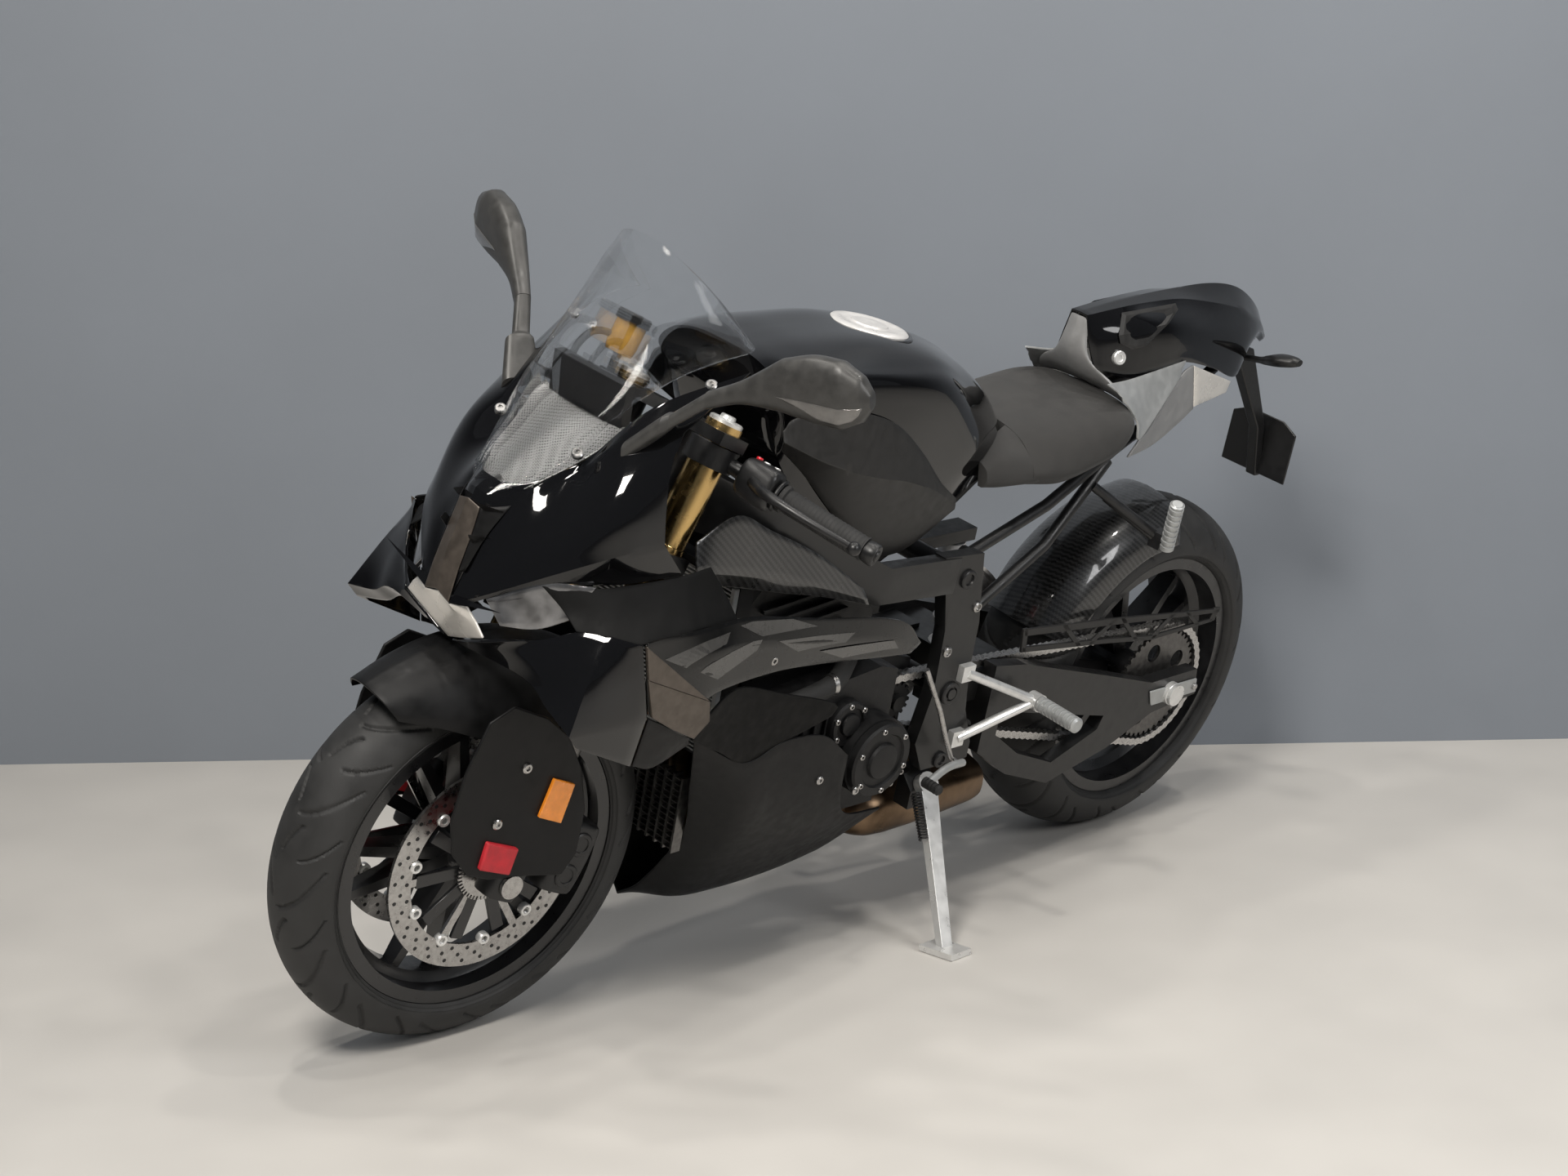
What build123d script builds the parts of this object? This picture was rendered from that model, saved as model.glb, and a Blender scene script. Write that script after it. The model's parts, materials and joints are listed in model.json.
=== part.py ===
from build123d import *
import os
from math import acos, asin, atan2, cos, degrees, pi, radians, sin

# Sport bike, parked leaning on its side stand. Millimetres and degrees.
# Pieces are drawn in the bike's own frame: X forward, Y to its left, Z up, with the bike upright and
# steered straight. The frame's datum lies on the ground, and the front axle stands 1457 ahead of it.
# Steered pieces are then turned about the steering head, and the whole bike is leaned, turned to
# face -Y and set on the floor.

# Chassis geometry
front_axle_x = 1457.0
wheelbase = 1457.0
rear_axle_x = front_axle_x - wheelbase
rake = 23.6
trail = 99.8
lean = 15.0
parked_steer = -3.5
pivot_x, pivot_z = 611.0, 441.0
pivot_radius = 9.0
pivot_tube_radius = 16.0

# Tyres and rims
front_radius, front_width, front_crown = 300.0, 120.0, 56.0
rear_radius, rear_width, rear_crown = 320.0, 192.0, 76.0
bead_radius = 216.0
rim_edge = 229.0
rim_wall = 7.0
front_rim_width = 104.0
rear_rim_width = 164.0
seat_gap = 0.3
spoke_pairs = 5

# Axles, hubs and their running fits
axle_radius = 12.5
running_fit = 0.05
hub_radius = 34.0
front_hub_width = 128.4
rear_hub_width = 190.4

# Brakes and final drive
front_disc_radius, front_disc_inner, disc_wall = 160.0, 124.0, 5.0
front_disc_offset = 67.0
rear_disc_radius, rear_disc_inner, rear_disc_offset = 110.0, 78.0, 98.0
chain_pitch = 15.875
rear_teeth, front_teeth = 45, 17
chain_line = 108.0
chain_width = 17.0
chain_height = 15.0
front_sprocket_x, front_sprocket_z = 700.0, 428.0
sprocket_wall = 6.0
sprocket_gap = 1.5

# Steering head, fork and bars, along and across the steering axis
fork_spread = 107.0
fork_tube_radius = 27.0
fork_slider_radius = 22.5
fork_top, fork_joint = 1028.0, 560.0
fork_stand_proud = 10.0
top_yoke_wall, low_yoke_wall = 18.0, 35.0
yoke_spread = 165.0
top_yoke_high = fork_top - fork_stand_proud
top_yoke_low = top_yoke_high - top_yoke_wall
low_yoke_high = top_yoke_low - yoke_spread
low_yoke_low = low_yoke_high - low_yoke_wall
stem_radius = 15.0
head_tube_radius = 33.0
head_gap = 1.0
bar_radius, grip_radius = 11.0, 17.0
bar_clamp_high = 32.0
bar_root_height = top_yoke_low - bar_clamp_high / 2 - 2
bar_droop = 20.0
bar_end = (-92.0, 350.0, bar_root_height - bar_droop)

# Panel walls
panel_wall = 4.0
screen_wall = 4.0

# Side stand
stand_pivot = (625.0, 150.0, 280.0)
stand_foot = (708.0, 326.0, 84.0)
stand_folded = (-0.97, 0.20, -0.06)
stand_pin_radius = 8.0
stand_eye_radius = 19.0

core = Vector(1000, 0, 650)
rake_sin, rake_cos = sin(radians(rake)), cos(radians(rake))
head_plane = Plane(
    origin=(front_axle_x + trail, 0, 0),
    x_dir=(rake_cos, 0, rake_sin),
    z_dir=(-rake_sin, 0, rake_cos),
)
front_axle_high = head_plane.to_local_coords(Vector(front_axle_x, 0, front_radius))
fork_offset = front_axle_high.X


# Shape helpers

def rod(start, end, radius):
    """Round bar between two points."""
    start, end = Vector(*start), Vector(*end)
    run = end - start
    plane = Plane(origin=start, z_dir=run)
    return plane.location * Cylinder(radius, run.length, align=(Align.CENTER, Align.CENTER, Align.MIN))


def block(low, high):
    """Box between two corners."""
    size = [b - a for a, b in zip(low, high)]
    middle = [(a + b) / 2 for a, b in zip(low, high)]
    return Pos(*middle) * Box(*size)


def plate_xz(points, y_low, y_high):
    """Flat plate with an outline of (x, z) points between two Y values."""
    face = Plane.XZ.offset(-y_high) * make_face(Polyline(*points, close=True))
    return extrude(face, y_high - y_low)


def pipe(points, radius, bend):
    """Bent tube along points, with one bend radius."""
    path = FilletPolyline(*points, radius=bend)
    ring = Plane(origin=path @ 0, z_dir=path % 0) * Circle(radius)
    return sweep(ring, path=path)


def pair(shape):
    """A left piece and its mirror image on the right."""
    return [shape, mirror(shape, about=Plane.XZ)]


def triangle(a, b, c):
    return Face(Wire.make_polygon([a, b, c], close=True))


def sheet(rows, wall, inside=core):
    """Panel of one wall thickness behind a grid of outer points, rows of equal length."""
    outer = [[Vector(*p) for p in row] for row in rows]
    height, width = len(outer), len(outer[0])

    def normal(i, j):
        total = Vector(0, 0, 0)
        for di, dj in ((1, 1), (1, -1), (-1, -1), (-1, 1)):
            if 0 <= i + di < height and 0 <= j + dj < width:
                along = (outer[i + di][j] - outer[i][j]) * di
                across = (outer[i][j + dj] - outer[i][j]) * dj
                total += along.cross(across).normalized()
        return total.normalized()

    middle = normal(height // 2, width // 2)
    side = 1 if middle.dot(inside - outer[height // 2][width // 2]) > 0 else -1
    inner = [[outer[i][j] + normal(i, j) * side * wall for j in range(width)] for i in range(height)]
    faces = []

    def quad(a, b, c, d):
        faces.append(triangle(a, b, c))
        faces.append(triangle(a, c, d))

    for grid in (outer, inner):
        for i in range(height - 1):
            for j in range(width - 1):
                quad(grid[i][j], grid[i][j + 1], grid[i + 1][j + 1], grid[i + 1][j])
    for j in range(width - 1):
        for i in (0, height - 1):
            quad(outer[i][j], outer[i][j + 1], inner[i][j + 1], inner[i][j])
    for i in range(height - 1):
        for j in (0, width - 1):
            quad(outer[i][j], outer[i + 1][j], inner[i + 1][j], inner[i][j])
    return Solid(Shell(faces))


def full_width(rows):
    """Rows of left-hand points from the centre outwards, continued to the right-hand side."""
    return [[(x, -y, z) for x, y, z in reversed(row[1:])] + list(row) for row in rows]


def wrapped(rows):
    """Rows of left-hand points from the top down to the keel, continued up the right-hand side."""
    return list(rows) + [[(x, -y, z) for x, y, z in row] for row in reversed(rows[:-1])]


def ribs_loft(stations):
    """Solid through sections at X stations: (x, half outline of (y, z) from the top to the bottom)."""
    sections = []
    for x, half in stations:
        outline = [(x, y, z) for y, z in half] + [(x, -y, z) for y, z in reversed(half) if y > 0]
        sections.append(Face(Wire.make_polygon([Vector(*p) for p in outline], close=True)))
    return loft(sections, ruled=True)


# Wheels, drawn about the Y axis at the origin

def tyre(radius, width, crown, rim_width):
    """Crowned ring of rubber with its round section, seated on the rim."""
    shoulder = radius - crown
    half = width / 2
    seat = rim_width / 2 - rim_wall - seat_gap
    low = bead_radius + seat_gap
    profile = make_face(
        Curve() + [
            EllipticalCenterArc((0, shoulder), half, crown, start_angle=0, arc_size=180),
            Polyline(
                (-half, shoulder),
                (-rim_width / 2 - 1, rim_edge + seat_gap),
                (-seat, rim_edge + seat_gap),
                (-seat, low),
                (seat, low),
                (seat, rim_edge + seat_gap),
                (rim_width / 2 + 1, rim_edge + seat_gap),
                (half, shoulder),
            ),
        ]
    )
    ring = revolve(profile, Axis.X)
    return Rot(0, 0, 90) * ring


def rim(width, hub_width, spoke_width):
    """Cast wheel: barrel with flanges, hub and pairs of spokes."""
    half = width / 2
    drop = bead_radius - 14
    profile = make_face(
        Polyline(
            (-half, rim_edge),
            (-half + rim_wall, rim_edge),
            (-half + rim_wall, bead_radius),
            (-half * 0.45, bead_radius),
            (-half * 0.3, drop),
            (half * 0.3, drop),
            (half * 0.45, bead_radius),
            (half - rim_wall, bead_radius),
            (half - rim_wall, rim_edge),
            (half, rim_edge),
            (half, bead_radius - rim_wall),
            (half * 0.5, bead_radius - rim_wall),
            (half * 0.35, drop - rim_wall),
            (-half * 0.35, drop - rim_wall),
            (-half * 0.5, bead_radius - rim_wall),
            (-half, bead_radius - rim_wall),
            close=True,
        )
    )
    wheel = Rot(0, 0, 90) * revolve(profile, Axis.X)
    wheel += Rot(90, 0, 0) * Cylinder(hub_radius, hub_width)
    reach = drop - rim_wall / 2
    for k in range(spoke_pairs):
        for twist in (-11, 11):
            outer = Vector(reach, 0, 0).rotate(Axis.Y, k * 360 / spoke_pairs + twist)
            inner = Vector(hub_radius - 8, 0, 0).rotate(Axis.Y, k * 360 / spoke_pairs + twist * 0.5)
            run = outer - inner
            plane = Plane(origin=inner, x_dir=(0, 1, 0), z_dir=run)
            foot = plane * Rectangle(spoke_width * 1.6, 20)
            tip = plane.offset(run.length) * Rectangle(spoke_width * 0.8, 14)
            wheel += loft([foot.face(), tip.face()], ruled=True)
    bore = Rot(90, 0, 0) * Cylinder(axle_radius + running_fit, hub_width * 3)
    return wheel - bore


def disc(radius, inner, hub_hole, offset, arms):
    """Brake disc with a ring and a spoked carrier, in one plane."""
    ring = Cylinder(radius, disc_wall) - Cylinder(inner, disc_wall)
    boss = Cylinder(hub_hole + 12, disc_wall) - Cylinder(hub_hole, disc_wall)
    for k in range(arms):
        arm = Pos((hub_hole + inner) / 2 + 6, 0, 0) * Box(inner - hub_hole, 12, disc_wall)
        boss += Rot(0, 0, k * 360 / arms) * arm
    return Pos(0, offset, 0) * Rot(90, 0, 0) * (ring + boss)


front_centre = Pos(front_axle_x, 0, front_radius)
rear_centre = Pos(rear_axle_x, 0, rear_radius)

nodes = {}
steered = []


def node(name, shapes, on_steering=False):
    nodes[name] = shapes if isinstance(shapes, list) else [shapes]
    if on_steering:
        steered.append(name)


# Front wheel
node("front_tyre", front_centre * tyre(front_radius, front_width, front_crown, front_rim_width), True)
node("front_rim", front_centre * rim(front_rim_width, front_hub_width, 30), True)
disc_arms = 6
front_disc = front_centre * disc(front_disc_radius, front_disc_inner, axle_radius + 12, front_disc_offset, disc_arms)
node("front_discs", pair(front_disc), True)

# Rear wheel
node("rear_tyre", rear_centre * tyre(rear_radius, rear_width, rear_crown, rear_rim_width))
node("rear_rim", rear_centre * rim(rear_rim_width, rear_hub_width, 40))
rear_disc = disc(rear_disc_radius, rear_disc_inner, axle_radius + 10, -rear_disc_offset, disc_arms)
node("rear_disc", rear_centre * rear_disc)

rear_pitch_radius = chain_pitch / 2 / sin(pi / rear_teeth)
front_pitch_radius = chain_pitch / 2 / sin(pi / front_teeth)


def sprocket(teeth, pitch_radius):
    """Toothed wheel whose teeth end inside the chain's loop."""
    tip = pitch_radius - chain_height / 2 - sprocket_gap
    root = tip - 6
    points = []
    for k in range(teeth):
        for share, radius in ((0.0, root), (0.3, root), (0.45, tip), (0.85, tip)):
            turn = 2 * pi * (k + share) / teeth
            points.append((radius * cos(turn), radius * sin(turn)))
    return extrude(make_face(Polyline(*points, close=True)), sprocket_wall)


rear_sprocket = sprocket(rear_teeth, rear_pitch_radius)
rear_carrier = chain_line - sprocket_wall / 2 - rear_hub_width / 2 - seat_gap
rear_sprocket += Pos(0, 0, sprocket_wall + rear_carrier / 2) * Cylinder(hub_radius, rear_carrier)
rear_sprocket -= Cylinder(axle_radius + 10, 100)
for k in range(5):
    window = Rot(0, 0, 72 * k) * Pos(66, 0, sprocket_wall / 2) * Cylinder(17, sprocket_wall)
    rear_sprocket -= window
rear_sprocket = rear_centre * Pos(0, chain_line + sprocket_wall / 2, 0) * Rot(90, 0, 0) * rear_sprocket
node("rear_sprocket", rear_sprocket)


# Chain and front sprocket
def chain_loop():
    """Fixed chain loop round both sprockets, high at each pin and waisted between pins."""
    big = Vector(rear_axle_x, rear_radius)
    small = Vector(front_sprocket_x, front_sprocket_z)
    along = (small - big).normalized()
    spread = degrees(asin((rear_pitch_radius - front_pitch_radius) / (small - big).length))
    top = along.rotate(Axis.Z, 90 - spread)
    bottom = along.rotate(Axis.Z, spread - 90)
    runs = [
        Line(big + top * rear_pitch_radius, small + top * front_pitch_radius),
        CenterArc(small, front_pitch_radius, degrees(atan2(top.Y, top.X)), 2 * spread - 180),
        Line(small + bottom * front_pitch_radius, big + bottom * rear_pitch_radius),
        CenterArc(big, rear_pitch_radius, degrees(atan2(bottom.Y, bottom.X)), -180 - 2 * spread),
    ]
    loop = Wire(Curve() + runs)
    halves = 2 * round(loop.length / chain_pitch)
    outer, inner = [], []
    for k in range(halves):
        half_height = chain_height / 2 if k % 2 == 0 else chain_height * 0.34
        point, run = loop @ (k / halves), loop % (k / halves)
        across = Vector(-run.Y, run.X)
        outer.append(point + across * half_height)
        inner.append(point - across * half_height)
    faces = [make_face(Polyline(*edge, close=True)) for edge in (outer, inner)]
    faces.sort(key=lambda face: face.area)
    return Plane.XZ.offset(-chain_line - chain_width / 2) * extrude(faces[1] - faces[0], chain_width)


node("chain", chain_loop())
front_sprocket = Rot(90, 0, 0) * sprocket(front_teeth, front_pitch_radius)
front_sprocket = Pos(front_sprocket_x, chain_line + sprocket_wall / 2, front_sprocket_z) * front_sprocket

# Engine block, crankcase below and cylinders above
crank = plate_xz(
    [(660, 340), (710, 285), (980, 285), (1040, 380), (1040, 500), (800, 530), (660, 490)], -155, 155
)
crank -= block((600, 92, 200), (760, 200, 600))
crank -= block((600, -200, 200), (700, -116, 600))
cylinders = plate_xz([(800, 500), (1040, 480), (1075, 640), (1010, 720), (860, 700), (790, 600)], -106, 106)
output_shaft = Pos(front_sprocket_x, 0, front_sprocket_z) * rod((0, 90, 0), (0, chain_line + 14, 0), 13)
alternator = rod((812, 154, 392), (812, 190, 392), 66) + rod((812, 190, 392), (812, 202, 392), 44)
clutch = rod((795, -154, 405), (795, -188, 405), 80) + rod((795, -188, 405), (795, -200, 405), 56)
engine = crank + cylinders + output_shaft + front_sprocket + alternator + clutch

# Frame: steering head, two beams and two pivot plates
head_low, head_high = low_yoke_high + head_gap, top_yoke_low - head_gap
head_tube = Pos(0, 0, head_low) * Cylinder(
    head_tube_radius, head_high - head_low, align=(Align.CENTER, Align.CENTER, Align.MIN)
)
head_bore = Cylinder(stem_radius + running_fit, 3000)
head_tube = head_plane.location * head_tube
beam_start = head_plane.from_local_coords(Vector(-8, 32, (head_low + head_high) / 2 - 4.5))
beam_sections = [
    # x, y, z of the beam's middle, its height and its width
    (beam_start.X, beam_start.Y, beam_start.Z, 96, 26),
    (1060, 118, 782, 74, 26),
    (830, 140, 668, 62, 26),
    (655, 134, 655, 60, 24),
]


def beam(sections):
    faces = []
    for k, (x, y, z, high, wide) in enumerate(sections):
        before = Vector(*sections[max(k - 1, 0)][:3])
        after = Vector(*sections[min(k + 1, len(sections) - 1)][:3])
        run = after - before
        plane = Plane(origin=(x, y, z), x_dir=Vector(0, 0, 1).cross(run), z_dir=run)
        faces.append((plane * Rectangle(wide, high)).face())
    return loft(faces, ruled=True)


left_beam = beam(beam_sections)
for boss in pair(rod((930, 100, 690), (930, 136, 690), 15) - left_beam):
    engine += boss
node("engine_block", engine)
pivot_plate = plate_xz(
    [(690, 690), (600, 685), (575, 560), (572, 470), (560, 400), (530, 335), (530, 306), (640, 306), (668, 360),
     (650, 450), (655, 560)],
    121, 145,
)
cross_top = rod((628, -125, 645), (628, 125, 645), 18) + block((476, -22, 637), (620, 22, 659))
cross_low = rod((600, -125, 318), (600, 125, 318), 16)
pivot_axle = rod((pivot_x, -152, pivot_z), (pivot_x, 152, pivot_z), pivot_radius)
main_frame = head_tube
for piece in pair(left_beam) + pair(pivot_plate) + [cross_top, cross_low, pivot_axle]:
    main_frame += piece
main_frame -= head_plane.location * head_bore
node("main_frame", main_frame)

# Rear subframe of round tubes
tube_radius = 10.0
rail = pipe([(596, 110, 668), (420, 106, 725), (250, 88, 795), (60, 58, 850), (-110, 22, 905)], tube_radius, 60)
strut = pipe([(580, 110, 550), (400, 104, 650), (262, 88, 776)], tube_radius, 50)
bridge = rod((-80, -44, 895), (-80, 44, 895), 8)
high_lug = rod((600, 100, 668), (600, 120.7, 668), 12)
low_lug = rod((576, 100, 553), (576, 120.7, 553), 12)
subframe = bridge
for piece in pair(rail) + pair(strut) + pair(high_lug) + pair(low_lug):
    subframe += piece
node("rear_subframe", subframe)

# Swingarm: two arms with a lower brace, joined ahead of the tyre
arm_inner, arm_outer = 122.0, 148.0
axle_block = [(rear_axle_x + x, rear_radius + z) for x, z in ((60, 30), (-70, 32), (-82, -20), (40, -34))]
arm_top = [(508, 470), (430, 458), (200, 392)]
arm_outline = arm_top + axle_block + [(150, 240), (300, 205), (420, 250), (508, 310)]
arm_hole = [(470, 380), (330, 345), (180, 310), (190, 285), (300, 245), (400, 285), (470, 335)]
right_outline = arm_top + axle_block + [(300, 300), (508, 330)]
left_arm = plate_xz(arm_outline, arm_inner, arm_outer) - plate_xz(arm_hole, arm_inner, arm_outer)
right_arm = plate_xz(right_outline, -arm_outer, -arm_inner)
bridge_block = block((400, -124, 352), (500, 124, 440))
pivot_tube = rod((pivot_x, -118, pivot_z), (pivot_x, 118, pivot_z), pivot_tube_radius)
pivot_bore = rod((pivot_x, -200, pivot_z), (pivot_x, 200, pivot_z), pivot_radius + running_fit)
swingarm = left_arm + right_arm + bridge_block
for side_lug in pair(block((470, 60, 395), (508, 124, 448)) + block((500, 60, 395), (598, 118, 448))):
    swingarm += side_lug
swingarm = swingarm + pivot_tube - pivot_bore
axle_bore = rear_centre * rod((0, -2 * arm_outer, 0), (0, 2 * arm_outer, 0), axle_radius + running_fit)
spool_ahead, spool_radius, spool_depth = 40.0, 4.0, 14.0
spool_hole = rod((spool_ahead, arm_outer - spool_depth, 0), (spool_ahead, arm_outer + 12, 0), spool_radius)
spool_hole = rear_centre * spool_hole
swingarm = swingarm - axle_bore - spool_hole - mirror(spool_hole, about=Plane.XZ)
node("swingarm", swingarm)

rear_axle = rear_centre * rod((0, -arm_outer - 12, 0), (0, arm_outer + 12, 0), axle_radius)
rear_nut = rear_centre * rod((0, arm_outer + 1, 0), (0, arm_outer + 18, 0), 20)
node("rear_axle", rear_axle + rear_nut + mirror(rear_nut, about=Plane.XZ))

# Shock absorber behind the engine
shock_low, shock_high = Vector(470, 0, 440), Vector(500, 0, 636)
shock = rod(shock_low, shock_high, 12) + rod(shock_low + (shock_high - shock_low) * 0.25, shock_high, 29)
node("rear_shock", shock - cross_top - bridge_block)

# Chain guard, hugger
guard_end = [(rear_axle_x + x, rear_radius + z) for x, z in ((-125, 132), (-110, 120), (60, 110))]
guard_wall = 4.0
guard = plate_xz([(430, 512), (200, 490)] + guard_end + [(200, 448), (420, 470)], arm_inner, arm_inner + guard_wall)
node("chain_guard", guard + (block((300, arm_inner, 400), (330, arm_inner + 8, 470)) - left_arm))


def arc_shell(centre_x, centre_z, columns, angles, wall):
    """Mudguard: rows round an axle, columns of (y, radius)."""
    rows = []
    for angle in angles:
        forward, up = cos(radians(angle)), sin(radians(angle))
        rows.append([(centre_x + r * forward, y, centre_z + r * up) for y, r in columns])
    return sheet(full_width(rows), wall, Vector(centre_x, 0, centre_z))


hugger_columns = [(0, rear_radius + 22), (50, rear_radius + 12), (88, rear_radius - 20), (97, rear_radius - 52)]
hugger = arc_shell(rear_axle_x, rear_radius, hugger_columns, (25, 45, 60, 75, 88), panel_wall)
node("rear_hugger", hugger + block((rear_axle_x + 306, -60, 440), (430, 60, 446)))

# Exhaust: four header pipes, collector box and silencer
pipes = []
for y in (-90, -30, 30, 90):
    run = [(1060, y, 545), (1078, y, 500), (1064, y, 300), (960, y * 0.7, 190), (702, y * 0.5, 195)]
    pipes.append(pipe(run, 19, 35))
collector = ribs_loft([
    (700, [(60, 235), (85, 200), (60, 160), (0, 155)]),
    (640, [(100, 250), (112, 200), (90, 150), (0, 145)]),
    (400, [(90, 240), (100, 200), (80, 150), (0, 150)]),
])
exhaust = collector
for piece in pipes:
    exhaust += piece
silencer_path = [(470, -60, 205), (440, -150, 205), (360, -205, 250)]
exhaust += pipe(silencer_path, 26, 35)
silencer = rod((370, -202, 245), (120, -226, 400), 50)
exhaust += silencer
node("exhaust", exhaust - engine)

# Radiator
radiator = block((1104, -148, 430), (1132, 148, 720))
for bracket in pair(block((1108, 60, 715), (1128, 90, 790)) - left_beam):
    radiator += bracket
node("radiator", radiator)

# Fairing panels, tables of (x, y, z) on the left side
nose_rows = [
    [(1494, 0, 880), (1490, 22, 880), (1470, 46, 882), (1444, 60, 896), (1400, 80, 922), (1330, 120, 1004),
     (1215, 172, 1060)],
    [(1516, 0, 866), (1510, 22, 862), (1488, 46, 853), (1459, 60, 884), (1415, 80, 903), (1382, 118, 955),
     (1314, 168, 984)],
    [(1536, 0, 812), (1529, 25, 806), (1516, 39, 811), (1488, 72, 839), (1443, 108, 872), (1407, 158, 910),
     (1343, 185, 941)],
    [(1548, 0, 765), (1544, 26, 760), (1538, 30, 757), (1516, 80, 788), (1471, 131, 832), (1416, 178, 872),
     (1352, 198, 889)],
    [(1554, 0, 724), (1555, 26, 718), (1556, 30, 714), (1532, 78, 745), (1487, 140, 790), (1416, 188, 827),
     (1351, 205, 841)],
    [(1540, 0, 722), (1542, 22, 712), (1542, 40, 712), (1536, 66, 731), (1492, 133, 776), (1400, 180, 780),
     (1302, 198, 786)],
]
nose_skin = sheet(full_width(nose_rows), panel_wall)
node("nose_cowl", nose_skin)

beak_rows = [
    [(1556, 0, 720), (1558, 26, 712), (1549, 55, 718)],
    [(1550, 0, 697), (1551, 40, 702), (1545, 72, 702)],
    [(1529, 0, 646), (1535, 44, 664), (1541, 86, 684)],
]
node("beak", sheet(full_width(beak_rows), panel_wall) - nose_skin)

headlight_rows = [
    [(1533, 71, 735), (1491, 132, 777), (1434, 175, 779)],
    [(1526, 100, 706), (1496, 138, 712), (1462, 168, 734)],
]
node("headlights", [lamp - nose_skin for lamp in pair(sheet(headlight_rows, 20))])

screen_rows = [
    # x and z on the centre line, x, y and z at the edge
    (1508, 868, 1478, 44, 888),
    (1466, 914, 1412, 78, 930),
    (1408, 980, 1376, 94, 982),
    (1354, 1056, 1300, 116, 1036),
    (1322, 1112, 1238, 132, 1062),
    (1304, 1164, 1180, 138, 1074),
    (1290, 1205, 1172, 116, 1084),
]
screen_steps = 4


def bowed(rows, steps):
    """Rows that curve from the centre line to their edge as a quarter of an ellipse."""
    grid = []
    for centre_x, centre_z, edge_x, edge_y, edge_z in rows:
        row = []
        for k in range(steps + 1):
            turn = radians(90 * k / steps)
            row.append((
                edge_x + (centre_x - edge_x) * cos(turn),
                edge_y * sin(turn),
                edge_z + (centre_z - edge_z) * cos(turn),
            ))
        grid.append(row)
    return grid


screen = sheet(full_width(bowed(screen_rows, screen_steps)), screen_wall) - nose_skin
node("windshield", max(screen.solids(), key=lambda piece: piece.volume))

wing_rows = [
    [(1543, 90, 680), (1498, 155, 706), (1469, 190, 727), (1440, 228, 732), (1413, 260, 728)],
    [(1537, 50, 662), (1512, 150, 680), (1494, 200, 678), (1478, 238, 680), (1404, 264, 680)],
    [(1529, 10, 645), (1516, 150, 650), (1511, 200, 626), (1515, 256, 612), (1386, 262, 616)],
    [(1502, 12, 640), (1488, 150, 632), (1484, 200, 604), (1497, 254, 590), (1386, 246, 534)],
]
lip_rows = [
    [(1382, 262, 614), (1340, 261, 591), (1296, 258, 563)],
    [(1382, 246, 533), (1341, 244, 521), (1274, 240, 541)],
]
node("winglets", pair(sheet(wing_rows, panel_wall)) + pair(sheet(lip_rows, panel_wall)))

side_rows = [
    [(1410, 262, 726), (1396, 262, 732), (1297, 250, 727), (1194, 236, 721), (1037, 220, 684), (840, 205, 638),
     (766, 193, 582)],
    [(1401, 264, 680), (1388, 264, 680), (1290, 264, 690), (1190, 248, 682), (1030, 228, 648), (850, 208, 610),
     (776, 194, 575)],
    [(1383, 262, 619), (1294, 259, 567), (1276, 260, 622), (1138, 236, 622), (1000, 212, 600), (870, 202, 580),
     (786, 193, 567)],
]
vane_rows = [
    [(1262, 252, 584), (1195, 240, 612), (1085, 226, 574), (974, 215, 534), (944, 210, 516)],
    [(1272, 242, 546), (1196, 226, 503), (1125, 212, 464), (1040, 210, 481), (952, 207, 500)],
]

belly_rows = [
    [(1225, 200, 519), (1128, 212, 464), (1048, 212, 482), (960, 208, 470), (893, 204, 420)],
    [(1172, 155, 410), (1100, 200, 385), (1035, 204, 380), (950, 204, 372), (886, 200, 340)],
    [(1130, 118, 300), (1080, 165, 305), (1010, 178, 300), (900, 178, 285), (820, 165, 280)],
    [(1118, 62, 205), (1070, 94, 190), (990, 114, 196), (870, 130, 215), (724, 148, 258)],
    [(1124, 32, 158), (1062, 58, 138), (980, 72, 140), (880, 76, 144), (800, 80, 156)],
    [(1128, 0, 128), (1060, 0, 118), (980, 0, 114), (880, 0, 116), (830, 0, 122)],
]
belly = sheet(wrapped(belly_rows), panel_wall, Vector(950, 0, 500))
for piece in pair(rod((900, 155, 300), (900, 177, 300), 7)) + pair(rod((1000, 155, 330), (1000, 184, 330), 7)):
    belly += piece
node("belly_pan", belly - engine)
infill_rows = [
    [(1240, 152, 806), (1165, 150, 834), (1092, 150, 800), (985, 152, 746), (880, 156, 676)],
    [(1246, 168, 772), (1172, 166, 752), (1080, 163, 730), (985, 162, 700), (868, 159, 656)],
    [(1228, 169, 746), (1155, 162, 726), (1062, 162, 702), (972, 161, 680), (862, 158, 646)],
]
side_panel = sheet(side_rows, panel_wall) + (rod((1000, 104, 610), (1000, 222, 640), 6) - engine)
infill = sheet(infill_rows, panel_wall) + (rod((905, 136, 682), (905, 158, 682), 7) - left_beam)
vanes = [vane - belly for vane in pair(sheet(vane_rows, panel_wall))]
node("side_fairings", pair(side_panel) + vanes + pair(infill))

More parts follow.
